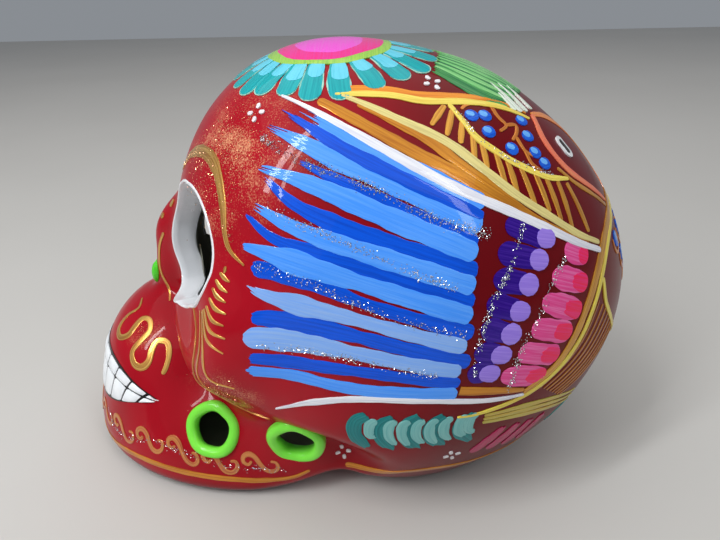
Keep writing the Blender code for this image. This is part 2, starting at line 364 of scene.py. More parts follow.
def sheet_faces(rows, columns):
    """Quads of a grid, and the loop of its border."""
    index = np.arange(rows * columns).reshape(rows, columns)
    quads = np.stack([index[:-1, :-1], index[1:, :-1], index[1:, 1:], index[:-1, 1:]], axis=-1)
    border = np.concatenate([index[:-1, 0], index[-1, :-1], index[:0:-1, -1], index[0, :0:-1]])
    return quads.reshape(-1, 4), border


class Coat:
    """Strokes of one colour, which together become one object."""

    def __init__(self, name, finish, slot=None):
        """An empty coat; marks hold each point's place along and across its stroke."""
        self.name, self.finish, self.slot = name, finish, slot
        self.points, self.faces, self.marks = [], [], []
        self.count, self.strokes = 0, 0

    def add(self, points, faces, marks):
        """Takes in one more closed piece."""
        self.points.append(points)
        self.faces.extend((np.asarray(faces) + self.count).tolist())
        self.marks.append(marks)
        self.count += len(points)
        self.strokes += 1

    def film(self, grid, outward, lift, swell, along, across):
        """Closes a grid of skin points into a thin film."""
        rows, columns = grid.shape[:2]
        crown = lift + FILM + swell * (1.0 - np.abs(np.linspace(-1, 1, columns)) ** 4)
        top = grid + outward * crown[None, :, None]
        bottom = grid - outward * BEDDED
        quads, border = sheet_faces(rows, columns)
        below = quads[:, ::-1] + rows * columns
        ahead = np.roll(border, -1)
        walls = np.stack([border, border + rows * columns, ahead + rows * columns, ahead], axis=-1)
        mark = np.full((rows, columns), (self.strokes * 0.618034) % 1.0)
        marks = np.stack([along, across, mark], axis=-1).reshape(-1, 3)
        points = np.concatenate([top.reshape(-1, 3), bottom.reshape(-1, 3)])
        self.add(points, np.concatenate([quads, below, walls[:, ::-1]]), np.tile(marks, (2, 1)))

    def finished(self):
        """The object, riding on the skull."""
        points = np.concatenate(self.points)
        made = object_from(self.name, points, self.faces, [self.finish])
        marks = made.data.attributes.new("stroke", "FLOAT_VECTOR", "POINT")
        marks.data.foreach_set("vector", np.concatenate(self.marks).astype(np.float32).ravel())
        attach(made, "root")
        return made


def smooth_curve(anchors, step=0.7):
    """Points about a step apart on the skin, along a smooth curve through the anchors."""
    anchors = np.array(anchors, float)
    padded = np.concatenate([[2 * anchors[0] - anchors[1]], anchors, [2 * anchors[-1] - anchors[-2]]])
    share = np.linspace(0, 1, 14, endpoint=False)[:, None]
    pieces = []
    for a, b, c, d in zip(padded, padded[1:], padded[2:], padded[3:]):
        pull = 2 * b + (c - a) * share + (2 * a - 5 * b + 4 * c - d) * share**2
        pieces.append(0.5 * (pull + (3 * b - a - 3 * c + d) * share**3))
    dense = onto_skin(np.concatenate([*pieces, anchors[-1:]]), 5)
    gone = np.concatenate([[0], np.cumsum(np.linalg.norm(np.diff(dense, axis=0), axis=1))])
    places = np.linspace(0, gone[-1], max(5, int(gone[-1] / step) + 1))
    return np.stack([np.interp(places, gone, dense[:, i]) for i in range(3)], axis=-1), places


def mirrored(anchors, side):
    """Points of the left side, on the side asked for."""
    return np.array(anchors, float) * (side, 1, 1)


def stroke(
    coat, anchors, widths, lift=PAINT, ends=(1, 1), bristle=(0, 0), side=1, columns=7, swell=0.05
):
    """A brush stroke: widths along it, ends round (1) or cut square (0), bristle is raggedness."""
    path, places = smooth_curve(mirrored(anchors, side))
    length = places[-1]
    heading = unit(np.gradient(path, axis=0))
    sideways = unit(np.cross(unit(slope(path)), heading))
    luck = np.random.default_rng(len(coat.name) * 1009 + coat.strokes * 31 + (side > 0))
    across = np.sin(np.linspace(-math.pi / 2, math.pi / 2, columns))
    widths = np.atleast_1d(np.array(widths, float))
    stations = np.linspace(0, 1, len(widths))
    bend = 1.0 - np.sqrt(np.clip(1.0 - across**2, 0.0, 1.0))
    start = ends[0] * bend * widths[0] / 2 + bristle[0] * luck.random(columns)
    stop = length - ends[1] * bend * widths[-1] / 2 - bristle[1] * luck.random(columns)
    stop = np.maximum(stop, start + 0.05)
    rows = max(5, len(path))
    share = np.linspace(0, 1, rows)[:, None]
    along = start + (stop - start) * share
    phase = luck.random(2) * 6.0
    wander = 1.0 + 0.05 * np.sin(along * 0.55 + phase[0]) + 0.03 * np.sin(along * 1.3 + phase[1])
    half = np.interp(along / length, stations, widths) / 2 * wander
    middle = np.stack([np.interp(along, places, path[:, i]) for i in range(3)], axis=-1)
    aside = np.stack([np.interp(along, places, sideways[:, i]) for i in range(3)], axis=-1)
    grid = onto_skin(middle + aside * (half * across)[..., None], 2)
    coat.film(grid, unit(slope(grid)), lift, swell, along, half * across)


def dab(coat, centre, towards, long, wide, lift=PAINT, side=1, swell=0.1):
    """A round or oval touch of the brush, long in the direction given."""
    centre = onto_skin(centre)
    heading = np.array(towards, float) - centre
    outward = unit(slope(centre))
    heading = unit(heading - outward * np.dot(heading, outward))
    reach = heading * (long / 2)
    stroke(coat, [centre - reach, centre + reach], [wide, wide], lift, side=side, swell=swell)


def bead(coat, centre, towards, sizes, side=1):
    """A raised drop: its length, width and height, lengthways in the direction given."""
    centre = onto_skin(mirrored(centre, side))
    outward = unit(slope(centre))
    heading = mirrored(towards, side) - centre
    heading = unit(heading - outward * np.dot(heading, outward))
    frame = np.stack([heading, np.cross(outward, heading), outward]) * np.array(sizes)[:, None] / 2
    tilt, turn = np.meshgrid(np.linspace(0, math.pi, 17), np.linspace(0, math.tau, 29), indexing="ij")
    ball = np.stack([np.cos(tilt), np.sin(tilt) * np.cos(turn), np.sin(tilt) * np.sin(turn)], axis=-1)
    quads, _ = sheet_faces(17, 29)
    marks = np.stack([tilt * 3, turn, tilt * 0], axis=-1).reshape(-1, 3)
    coat.add(centre + ball.reshape(-1, 3) @ frame, quads, marks)


def grains(coat, points, outward, size, luck):
    """Glitter: a tiny three-sided chip at each point, turned at random."""
    count = len(points)
    turn = luck.random(count) * math.tau
    helper = np.where(np.abs(outward[:, :1]) < 0.8, [[1.0, 0, 0]], [[0, 1.0, 0]])
    first = unit(np.cross(outward, helper))
    second = np.cross(outward, first)
    size = size * (0.7 + 0.6 * luck.random(count))
    corners = []
    for third in range(3):
        angle = turn + third * math.tau / 3
        rim = first * np.cos(angle)[:, None] + second * np.sin(angle)[:, None]
        corners.append(points + rim * (size * 0.6)[:, None])
    tip = (luck.random((count, 2)) - 0.5) * (size * 0.5)[:, None]
    apex = points + outward * (size * 0.4)[:, None] + first * tip[:, :1] + second * tip[:, 1:]
    quad = np.stack([*corners, apex], axis=1).reshape(-1, 3)
    base = np.arange(count)[:, None] * 4
    faces = np.concatenate([base + chip for chip in ((2, 1, 0), (0, 1, 3), (1, 2, 3), (2, 0, 3))])
    marks = np.zeros((count, 4, 3))
    marks[:, :, 2] = luck.random(count)[:, None]
    coat.add(quad, faces, marks.reshape(-1, 3))


def glitter_line(coat, anchors, width, per_mm, size=0.31, lift=LAST, side=1):
    """Glitter glue drawn along a line, thicker in some stretches than in others."""
    path, places = smooth_curve(mirrored(anchors, side))
    sideways = unit(np.cross(unit(slope(path)), unit(np.gradient(path, axis=0))))
    luck = np.random.default_rng(len(coat.name) * 977 + coat.strokes * 17 + (side > 0))
    along = luck.random(int(places[-1] * per_mm)) * places[-1]
    density = 0.5 + 0.3 * np.sin(along * 0.35 + luck.random() * 6) * np.sin(along * 0.11 + 1)
    along = along[luck.random(len(along)) < density]
    middle = np.stack([np.interp(along, places, path[:, i]) for i in range(3)], axis=-1)
    aside = np.stack([np.interp(along, places, sideways[:, i]) for i in range(3)], axis=-1)
    points = onto_skin(middle + aside * (luck.normal(0, width / 2, len(along)))[:, None], 2)
    outward = unit(slope(points))
    grains(coat, points + outward * lift, outward, size, luck)


def glitter_patch(coat, centre, radius, count, side):
    """Loose glitter rubbed over a round patch, thinning out to its edge."""
    luck = np.random.default_rng(len(coat.name) * 881 + coat.strokes * 13 + (side > 0))
    centre = mirrored(centre, side)
    offsets = luck.normal(0, radius / 2, (count, 3))
    points = onto_skin(centre + offsets, 3)
    outward = unit(slope(points))
    grains(coat, points + outward * UNDER, outward, 0.24, luck)


# ---------------------------------------------------------------- the clay pieces
def ray_solid(name, distance, level, segments, rings, finish):
    """A closed surface at a distance level, as a sphere whose points are moved out to it."""
    turn = np.linspace(0, math.tau, segments, endpoint=False)
    tilt = np.linspace(0, math.pi, rings + 1)[1:-1, None]
    around = [np.sin(tilt) * np.cos(turn), np.sin(tilt) * np.sin(turn), np.cos(tilt) + 0 * turn]
    directions = np.concatenate([np.stack(around, axis=-1).reshape(-1, 3), [[0, 0, 1], [0, 0, -1]]])
    index = np.arange((rings - 1) * segments).reshape(rings - 1, segments)
    ahead = np.roll(index, -1, axis=1)
    quads = np.stack([index[:-1], index[1:], ahead[1:], ahead[:-1]], axis=-1).reshape(-1, 4)
    pole = index.size
    caps = [(pole, a, b) for a, b in zip(index[0].tolist(), ahead[0].tolist())]
    caps += [(pole + 1, b, a) for a, b in zip(index[-1].tolist(), ahead[-1].tolist())]
    mesh = bpy.data.meshes.new(name)
    points = ray_points(directions, distance, level) * MM
    mesh.from_pydata(points.tolist(), [], quads.tolist() + caps)
    mesh.materials.append(finish)
    made = bpy.data.objects.new(name, mesh)
    bpy.context.scene.collection.objects.link(made)
    return made


class Opening:
    """A hole in the clay: its own frame, and the height of the skin round it."""

    def __init__(self, point, axis, side):
        """An opening at a point of the left side; side -1 mirrors what it makes."""
        self.side = side
        self.centre = np.array(point, float)
        self.axis = unit(np.array(axis, float))
        self.first = unit(np.cross((0, 0, 1.0), self.axis))
        self.second = np.cross(self.axis, self.first)

    def at(self, radius, angle, height):
        """Points at a radius and angle round the axis, at a height along it."""
        rim = np.cos(angle)[..., None] * self.first + np.sin(angle)[..., None] * self.second
        points = self.centre + rim * np.asarray(radius)[..., None]
        return points + self.axis * np.asarray(height)[..., None]

    def skin_height(self, radius, angle):
        """Height along the axis at which the skin lies, at a radius and angle."""
        high = np.full(angle.shape, 16.0)
        low = np.full(angle.shape, -16.0)
        for _ in range(24):
            middle = (high + low) / 2
            inside = skin_distance(self.at(radius, angle, middle)) < 0
            low = np.where(inside, middle, low)
            high = np.where(inside, high, middle)
        return low

    def ring(self, name, radius, profile, finish, waves, steps=144):
        """A closed ring: the profile is (inward from the rim, height above the skin) points.

        The rim follows the skin with as many waves round it as given: one makes it flat.
        """
        angle = np.linspace(0, math.tau, steps, endpoint=False)
        rim = radius(angle)
        skin = self.skin_height(rim, angle)
        turns = [turn(angle * wave) for wave in range(1, waves + 1) for turn in (np.cos, np.sin)]
        skin = np.mean(skin) + sum(2 * turn * np.mean(skin * turn) for turn in turns)
        loops = [self.at(rim - inward, angle, skin + height) for inward, height in profile]
        points = np.stack(loops, axis=1) * (self.side, 1, 1)
        count = len(profile)
        index = np.arange(steps * count).reshape(steps, count)
        ahead = np.roll(index, -1, axis=0)
        beside = np.roll(index, -1, axis=1)
        both = np.roll(ahead, -1, axis=1)
        quads = np.stack([index, ahead, both, beside], axis=-1).reshape(-1, 4)
        return self.closed(name, points.reshape(-1, 3), quads.tolist(), [finish])

    def plug(self, name, radius, bottom, top, steps=144):
        """A closed cutter along the axis."""
        angle = np.linspace(0, math.tau, steps, endpoint=False)
        loops = [self.at(radius(angle), angle, np.full(steps, height)) for height in (bottom, top)]
        points = np.concatenate(loops) * (self.side, 1, 1)
        index = np.arange(steps)
        ahead = np.roll(index, -1)
        walls = np.stack([index, ahead, ahead + steps, index + steps], axis=-1).tolist()
        return self.closed(name, points, [*walls, index[::-1].tolist(), (index + steps).tolist()], [])

    def closed(self, name, points, faces, finishes):
        """The object, with every face turned outwards."""
        made = object_from(name, points, faces, finishes)
        bm = bmesh.new()
        bm.from_mesh(made.data)
        bmesh.ops.recalc_face_normals(bm, faces=bm.faces)
        bm.to_mesh(made.data)
        bm.free()
        return made


def eye_opening(side):
    """The eye socket, in the clay in front of the eye."""
    return Opening(last_inside((EYE_X, 0, EYE_Z), (0, -1, 0), 90), EYE_AXIS, side)


def collar_opening(y, z, side):
    """A cheek hole, square to the clay."""
    point = last_inside((0, y, z), (1, 0, 0), 70)
    return Opening(point, slope(point[None])[0], side)


def eye_rim(angle):
    """The socket's outline: a knife-cut oval with blunt corners, wider at temple and nose."""
    turns = np.radians((-180, -155, -135, -115, -95, -62, -30, 0, 45, 88, 130, 160))
    radii = (21.5, 23.5, 24.0, 21.0, 17.6, 16.6, 18.6, 20.2, 19.2, 17.2, 17.2, 19.0)
    return np.interp(angle, turns, radii, period=math.tau)


def eye_cut(angle):
    """The hole for the socket: a little tighter than its outline."""
    return eye_rim(angle) - 0.3


def vent_rim(angle):
    """The oval of the vent in the base."""
    return 1.0 / np.hypot(np.sin(angle) / VENT_HALF_X, np.cos(angle) / VENT_HALF_Y)


def round_cut(radius):
    """The outline of a round hole."""
    return lambda angle: np.full(angle.shape, radius)


def collar_rim(outer, phase):
    """The outline of a collar: a circle that the hand has left uneven."""
    return lambda angle: outer + 0.25 * np.sin(2 * angle + phase) + 0.12 * np.sin(5 * angle)


def boolean(target, operation, tools):
    """Adds a Boolean of the target with every tool."""
    for tool in tools:
        modifier = target.modifiers.new(tool.name, "BOOLEAN")
        modifier.operation = operation
        modifier.solver = "MANIFOLD"
        modifier.object = tool


def applied(target, name):
    """A new mesh object from what the modifiers make."""
    graph = bpy.context.evaluated_depsgraph_get()
    mesh = bpy.data.meshes.new_from_object(target.evaluated_get(graph))
    made = bpy.data.objects.new(name, mesh)
    bpy.context.scene.collection.objects.link(made)
    return made


def side_block(side):
    """A block that fills one side of the middle plane."""
    bm = bmesh.new()
    bmesh.ops.create_cube(bm, size=1.0)
    mesh = bpy.data.meshes.new("side_block")
    bmesh.ops.scale(bm, verts=bm.verts, vec=(REACH * MM, 3 * REACH * MM, 3 * REACH * MM))
    bmesh.ops.translate(bm, verts=bm.verts, vec=(side * REACH * MM / 2, 0, 0))
    bm.to_mesh(mesh)
    bm.free()
    made = bpy.data.objects.new("side_block", mesh)
    bpy.context.scene.collection.objects.link(made)
    return made


def make_shells(outside, inside):
    """The two pressed halves, with every opening cut through them."""
    whole = ray_solid("whole", skin_distance, 0.0, SKIN_SEGMENTS, SKIN_RINGS, outside)
    tools = [ray_solid("cavity", skin_distance, -WALL, CAVITY_SEGMENTS, CAVITY_RINGS, inside)]
    vent = Opening((0, 0, 0), (0, 0, -1), 1)
    tools.append(vent.plug("vent", vent_rim, -16.0, 5.0))
    for side in SIDES:
        tools.append(eye_opening(side).plug("eye", eye_cut, -EYE_DEPTH - 8.0, 14.0))
        for y, z, outer in CHEEK_HOLES.values():
            tools.append(collar_opening(y, z, side).plug("hole", round_cut(outer - 1.2), -16.0, 10.0))
    boolean(whole, "DIFFERENCE", tools)
    cut_whole = applied(whole, "cut_whole")
    for side, word in ((1, "left"), (-1, "right")):
        block = side_block(side)
        half = applied(cut_whole, "half")
        boolean(half, "INTERSECT", [block])
        shell = applied(half, f"{word}_shell")
        mesh = shell.data
        mesh.materials.clear()
        mesh.materials.append(outside)
        mesh.materials.append(inside)
        centres = np.empty(len(mesh.polygons) * 3)
        mesh.polygons.foreach_get("center", centres)
        deep = skin_distance(centres.reshape(-1, 3) / MM) < -0.8
        mesh.polygons.foreach_set("material_index", deep.astype(np.int32))
        mesh.shade_smooth()
        mesh.set_sharp_from_angle(angle=math.radians(35))
        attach(shell, "root")
        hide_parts(f"{word}_half")
        tools.extend([block, half])
    for spare in [whole, cut_whole, *tools]:
        bpy.data.objects.remove(spare, do_unlink=True)


def make_linings(finish):
    """The white wall inside each eye socket, thin and rounded at its edge."""
    profile = [
        (0.5, -EYE_DEPTH),
        (0.25, -1.2),
        (0.1, 0.05),
        (0.35, 0.28),
        (0.75, 0.25),
        (1.05, -0.15),
        (1.2, -1.6),
        (1.6, -4.0),
        (2.1, -EYE_DEPTH + 0.9),
        (2.0, -EYE_DEPTH + 0.3),
        (1.6, -EYE_DEPTH),
    ]
    for side, word in ((1, "left"), (-1, "right")):
        lining = eye_opening(side).ring(f"{word}_socket_wall", eye_rim, profile, finish, 9)
        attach(lining, "root")
        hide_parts(f"{word}_eye_lining")


def make_collars(finish):
    """A thick rolled lip round each cheek hole, and its sleeve through the wall."""
    half = COLLAR_LIP / 2
    lip = []
    for turn in np.linspace(0, math.pi, 11):
        lip.append((half - half * math.cos(turn), 0.1 + 0.95 * half * math.sin(turn)))
    profile = [
        (0.0, -1.0), *lip, (COLLAR_LIP + 0.05, -0.9), (COLLAR_LIP - 0.9, -COLLAR_DEPTH),
        (1.3, -COLLAR_DEPTH), (1.1, -1.0),
    ]
    for side, word in ((1, "left"), (-1, "right")):
        for where, (y, z, outer) in CHEEK_HOLES.items():
            opening = collar_opening(y, z, side)
            name = f"{word}_{where}_collar"
            collar = opening.ring(name, collar_rim(outer, z), profile, finish, 1)
            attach(collar, "root")
            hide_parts(f"{word}_{where}_cheek_collar")


# ---------------------------------------------------------------- the mouth
def mouth_height(x, rise):
    """Height of a tooth line at x: it drops towards the corners, where all the lines meet."""
    bow = np.clip(np.abs(x) / MOUTH_HALF_WIDTH, 0, 1) ** MOUTH_BOW
    return MOUTH_MIDDLE_Z - MOUTH_CORNER_DROP * bow + rise * (1.0 - bow)


def muzzle_grid(x, z):
    """Points of the muzzle's front at x and z."""
    far = np.full(x.shape, -90.0)
    near = np.full(x.shape, -46.0)
    for _ in range(24):
        middle = (far + near) / 2
        inside = skin_distance(np.stack([x, middle, z], axis=-1)) < 0
        near = np.where(inside, middle, near)
        far = np.where(inside, far, middle)
    return np.stack([x, near, z], axis=-1)


def mouth_patch(coat, left, right, low, high, lift, dome, margin, rows=9, columns=9):
    """A patch of the muzzle between two places across the mouth and two tooth lines."""
    across = np.linspace(left + margin, right - margin, columns)
    share = np.linspace(0, 1, rows)[:, None]
    floor = mouth_height(across, low) + margin
    roof = mouth_height(across, high) - margin
    roof = np.maximum(roof, floor + 0.1)
    u = np.linspace(-1, 1, columns)
    v = share * 2 - 1
    z = floor + (roof - floor) * share
    rounding = 0.14 * (1 - np.abs(u) ** 6)[None, :] + 0.86
    z = (floor + roof) / 2 + (z - (floor + roof) / 2) * rounding
    x = np.broadcast_to(across, z.shape) * 1.0
    grid = muzzle_grid(x, z)
    outward = unit(slope(grid))
    swell = dome * (1 - np.abs(u)[None, :] ** 3) * (1 - np.abs(v) ** 3)
    grid = grid + outward * swell[..., None]
    coat.film(grid, outward, lift, 0.0, z, x)


def make_teeth(white, black):
    """Two rows of domed teeth with dark gaps, on a black ground that shows round them."""
    ground = Coat("mouth_outline", black)
    edge = MOUTH_HALF_WIDTH - 0.6
    mouth_patch(ground, -edge, edge, -LOWER_ROW - 1.1, UPPER_ROW + 0.8, 0.1, 0.0, 0.0, 24, 120)
    ground.finished()
    steps = [MOUTH_HALF_WIDTH * math.sin(math.radians(angle)) for angle in range(0, 85, 12)]
    for name, node_name, low, high in (
        ("upper_row", "upper_teeth", 0.0, UPPER_ROW),
        ("lower_row", "lower_teeth", -LOWER_ROW, 0.0),
    ):
        row = Coat(name, white, "white_glazed_clay")
        for near, far in zip(steps, steps[1:]):
            for side in SIDES:
                ends = sorted((side * near, side * far))
                mouth_patch(row, *ends, low, high, 0.3, 0.4, 0.17)
        made = row.finished()
        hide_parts(node_name)


# ---------------------------------------------------------------- the painted decoration
GOLD = (0.78, 0.38, 0.05)
GOLD_DARK = (0.55, 0.22, 0.03)
FLOWER = (2.5, -0.5)  # its middle, a little to the left of the crown's


def crown_points(radius, angle, squash=0.93):
    """Points of the crown at a radius and angle from the flower's middle."""
    radius, angle = np.broadcast_arrays(np.asarray(radius, float), np.asarray(angle, float))
    x = FLOWER[0] + radius * np.cos(angle)
    y = FLOWER[1] + radius * np.sin(angle) * squash
    return onto_skin(np.stack([x, y, 120.5 - radius * radius / 105.0], axis=-1), 5)


def disc(name, finish, across, squash, lift):
    """A round touch of paint over the crown, with a slightly uneven edge."""
    steps, rings = 96, 12
    turn = np.linspace(0, math.tau, steps, endpoint=False)
    share = np.linspace(0, 1, rings + 1)[1:, None]
    edge = across * (1 + 0.018 * np.sin(3 * turn + across) + 0.012 * np.sin(7 * turn))
    rim = crown_points(share * edge, turn + 0 * share, squash)
    points = np.concatenate([crown_points(0.0, 0.0)[None], rim.reshape(-1, 3)])
    share = np.concatenate([[0.0], np.repeat(share.ravel(), steps)])
    outward = unit(slope(points))
    top = points + outward * (lift + FILM + 0.06 * (1 - share**8))[:, None]
    bottom = points - outward * BEDDED
    count = len(points)
    index = np.arange(1, count).reshape(rings, steps)
    ahead = np.roll(index, -1, axis=1)
    quads = np.stack([index[:-1], index[1:], ahead[1:], ahead[:-1]], axis=-1).reshape(-1, 4)
    wall = np.stack([index[-1], index[-1] + count, ahead[-1] + count, ahead[-1]], axis=-1)
    caps = [(0, a, b) for a, b in zip(index[0].tolist(), ahead[0].tolist())]
    under = [(count, b + count, a + count) for _, a, b in caps]
    faces = quads.tolist() + (quads[:, ::-1] + count).tolist() + wall.tolist() + caps + under
    coat = Coat(name, finish)
    marks = np.stack([points[:, 0], points[:, 1], np.zeros(count)], axis=-1)
    coat.points.append(np.concatenate([top, bottom]))
    coat.faces = faces
    coat.marks.append(np.tile(marks, (2, 1)))
    coat.finished()


def make_flower():
    """A round flower on the crown, with two-toned petals."""
    teal = brushed("teal_paint", (0.008, 0.40, 0.42), (0.0, 0.30, 0.34))
    aqua = brushed("aqua_paint", (0.14, 0.62, 0.78), (0.06, 0.48, 0.62), streaks=(0.5, 0.8))
    mint = brushed("mint_paint", (0.42, 0.68, 0.55), (0.20, 0.50, 0.42))
    outlines = Coat("petal_outlines", mint)
    petals = Coat("flower_petals", teal)
    overlays = Coat("flower_petal_overlays", aqua)
    seen = [-65.5, -50.8, -38.2, -22.2, -7.8, 8.3, 28.1, 45.5, 60.5, 76.0]
    seen += [76.0 + 16.8 * k for k in range(1, 13)]
    for k, degrees in enumerate(seen):
        angle = math.radians(degrees)
        lean = 0.05 * math.sin(k * 2.3)
        reach = 28.9 + 0.8 * math.sin(k * 1.7)
        radii = np.array([14.0, 19.0, 24.0, reach])
        angles = np.array([angle - lean, angle - lean / 2, angle, angle])
        line = crown_points(radii, angles)
        stroke(outlines, line, [3.2, 4.3, 5.5, 5.9], PAINT, columns=9)
        stroke(petals, crown_points(radii - (0, 0, 0, 0.25), angles), [3.0, 4.0, 5.2, 5.5], OVER, columns=9)
        inner = crown_points(np.array([14.0, 18.5, 23.0 + 0.9 * math.sin(k * 2.9)]), angles[:3] + 0.02)
        stroke(overlays, inner, [2.7, 3.5, 4.2], TOP, (1, 0.8), (0, 0.3), columns=9)
    for coat in (outlines, petals, overlays):
        coat.finished()

    lime = brushed("lime_paint", (0.36, 0.62, 0.09), (0.24, 0.52, 0.08))
    hot = brushed("hot_pink_paint", (0.83, 0.03, 0.25), (0.78, 0.05, 0.32))
    orchid = brushed("orchid_paint", (0.85, 0.09, 0.62), (0.80, 0.13, 0.60))
    disc("flower_ring", lime, 17.6, 0.90, LAST)
    disc("flower_disc", hot, 15.3, 0.89, LAST + 0.06)
    disc("flower_heart", orchid, 11.9, 0.72, LAST + 0.12)


def make_wing():
    """Two blues of long feathers, split at the tips by the brush."""
    deep = Coat("wing_feathers_deep", brushed("deep_blue", (0.0, 0.09, 0.72), (0.0, 0.065, 0.56)))
    sky = brushed("sky_blue", (0.06, 0.30, 0.98), (0.12, 0.38, 1.0), streaks=(0.35, 0.75))
    grey = brushed("grey_blue", (0.19, 0.40, 0.90), (0.30, 0.48, 0.85), streaks=(0.35, 0.75))
    light = Coat("wing_feathers_light", sky)
    soft = Coat("wing_feathers_soft", grey)
    # Each feather: its colour and coat, how far its tip is split, its widths, its line.
    feathers = [
        (deep, TOP, 6, [0.6, 2.8, 3.4, 3.0, 2.2],
         [(31, -10.5, 109.5), (40, 3, 103.5), (44, 19, 96), (45.5, 34.5, 88.7)]),
        (light, OVER, 7, [1.2, 4.6, 4.6, 3.8],
         [(32.5, -6, 109.5), (39, 6, 104.5), (42, 19, 98.5), (44, 35, 91)]),
        (deep, PAINT, 2, [1.0, 3.4, 4.0, 3.8],
         [(41, -6, 100.5), (44.5, 2, 97.5), (47.5, 16.5, 91), (49, 33, 83.5)]),
        (light, OVER, 7, [1.0, 5.0, 5.2, 4.6],
         [(33.5, -13.5, 106.5), (41, 0, 102), (44.5, 14.5, 96.5), (47, 34, 86.8)]),
        (deep, PAINT, 3, [1.2, 3.8, 4.2, 4.2],
         [(41.5, -14, 97.5), (47, -5.5, 92), (50.5, 10.5, 86), (51.5, 33, 78)]),
        (light, OVER, 5, [1.4, 4.4, 5.0, 4.8],
         [(40, -15, 99), (45, -3, 96.5), (48.5, 14.5, 89.5), (50, 33, 81.7)]),
        (deep, PAINT, 2, [1.0, 3.8, 4.2, 4.2],
         [(44, -18.5, 89.7), (49, -10.5, 85), (53, 10, 80), (54, 32.5, 71.7)]),
        (light, OVER, 4, [1.6, 4.0, 4.6, 4.4],
         [(44, -17, 92), (49, -5.5, 87.5), (52, 12.5, 82), (52.5, 32.5, 75)]),
        (deep, PAINT, 0.6, [4.0, 4.2, 2.6, 3.2, 4.2],
         [(48, -17.5, 78), (50, -12, 78), (52.5, -3, 76.5), (55.5, 10, 72), (55.5, 32.5, 64.7)]),
        (light, OVER, 1, [1.2, 6.0, 3.7, 4.2, 4.7],
         [(46, -19.5, 82.7), (49.5, -11.5, 81.7), (54, 6, 77.5), (54.5, 32, 68.6)]),
        (deep, PAINT, 0.8, [3.4, 5.4, 3.2, 3.6, 4.0],
         [(51, -18.5, 66.5), (52.5, -12.5, 67), (56.5, 5.5, 65), (56.5, 32, 57.6)]),
        (soft, OVER, 3, [1.0, 5.2, 3.0, 3.4, 3.9],
         [(48.5, -19, 73.7), (51, -13.5, 72.3), (55.5, 5.5, 69), (56, 31, 61.5)]),
        (deep, PAINT, 1.2, [3.0, 3.6, 2.8, 3.0, 3.2],
         [(52.5, -20, 56.7), (54.5, -6, 56.2), (58, 10, 55.5), (57, 30, 52.2)]),
        (soft, OVER, 0.5, [5.4, 5.8, 3.4, 3.6, 3.9],
         [(52, -20.5, 61.5), (53.3, -14, 62.2), (57, 4, 61), (57, 30, 55.4)]),
        (light, OVER, 1.2, [2.8, 3.2, 3.2, 3.6, 3.6],
         [(52.5, -20.5, 53), (54, -9, 52.5), (57, 3.5, 51), (57, 29.5, 49.2)]),
    ]
    for side in SIDES:
        for coat, lift, split, widths, anchors in feathers:
            smooth_widths = np.interp(np.linspace(0, 1, 13), np.linspace(0, 1, len(widths)), widths)
            stroke(coat, anchors, smooth_widths, lift, (1, 0.7), (split, 0.2), side, columns=13)
    for coat in (deep, light, soft):
        coat.finished()


def make_wing_borders():
    """White lines and gold bands along the wing, above it and below."""
    white = Coat("wing_lines_white", brushed("white_paint", (0.86, 0.86, 0.90), (0.70, 0.70, 0.80)))
    ochre = brushed("ochre_gold", (0.62, 0.25, 0.022), (0.46, 0.15, 0.012), 0.3, 0.35)
    gold = Coat("wing_bands_gold", ochre)
    cream = brushed("cream_yellow", (0.80, 0.68, 0.26), (0.62, 0.52, 0.20))
    pale = Coat("wing_line_cream", cream)
    for side in SIDES:
        line = [
            (27.5, -10.5, 112), (35.5, 2, 107.5), (40.5, 15, 101.5), (43, 27.5, 95), (43, 38, 90),
            (38, 56, 79.5), (32.5, 66.5, 74),
        ]
        stroke(white, line, [0.6, 1.6, 2.4, 2.4, 2.2, 2.0, 1.4], TOP, side=side)
        line = [
            (51, -15, 39.3), (55, -4.5, 45), (57.5, 7.5, 48), (57.5, 23.5, 47.5), (54.5, 38, 45.3),
            (51, 46.5, 44.3),
        ]
        stroke(white, line, [0.4, 1.8, 1.7, 1.5, 1.4, 0.8], TOP, side=side)
        line = [
            (30.7, -1.8, 111.3), (35.5, 8, 107), (39.5, 20, 101.5), (41.3, 30, 96.5), (42, 38, 91.5),
            (40.5, 51, 83.5), (35, 62.5, 77),
        ]
        stroke(gold, line, [2.2, 2.8, 3.2, 3.2, 3.0, 2.4, 1.2], PAINT, side=side)
        line = [(31.5, 7, 110.3), (36, 21, 104.5), (39.5, 30, 98.7), (41, 39, 92.7), (41.3, 44.5, 89)]
        stroke(gold, line, [1.4, 2.6, 2.6, 2.0, 0.6], PAINT, side=side)
        line = [
            (29.6, 3.5, 111.8), (33, 14.5, 107.8), (36, 26, 103.5), (38.5, 34, 98), (40, 42, 92),
            (39.5, 49.5, 87), (36.5, 58.5, 80.5), (32, 66.5, 76),
        ]
        stroke(pale, line, [1.2, 1.8, 2.2, 2.4, 2.2, 2.0, 1.8, 1.2], OVER, side=side)
        stroke(
            gold, [(57, 30, 49.8), (55, 39, 48), (51.5, 46.5, 45.8)], [2.4, 2.2, 1.2], PAINT, (0, 1),
            side=side,
        )
    for coat in (white, gold, pale):
        coat.finished()


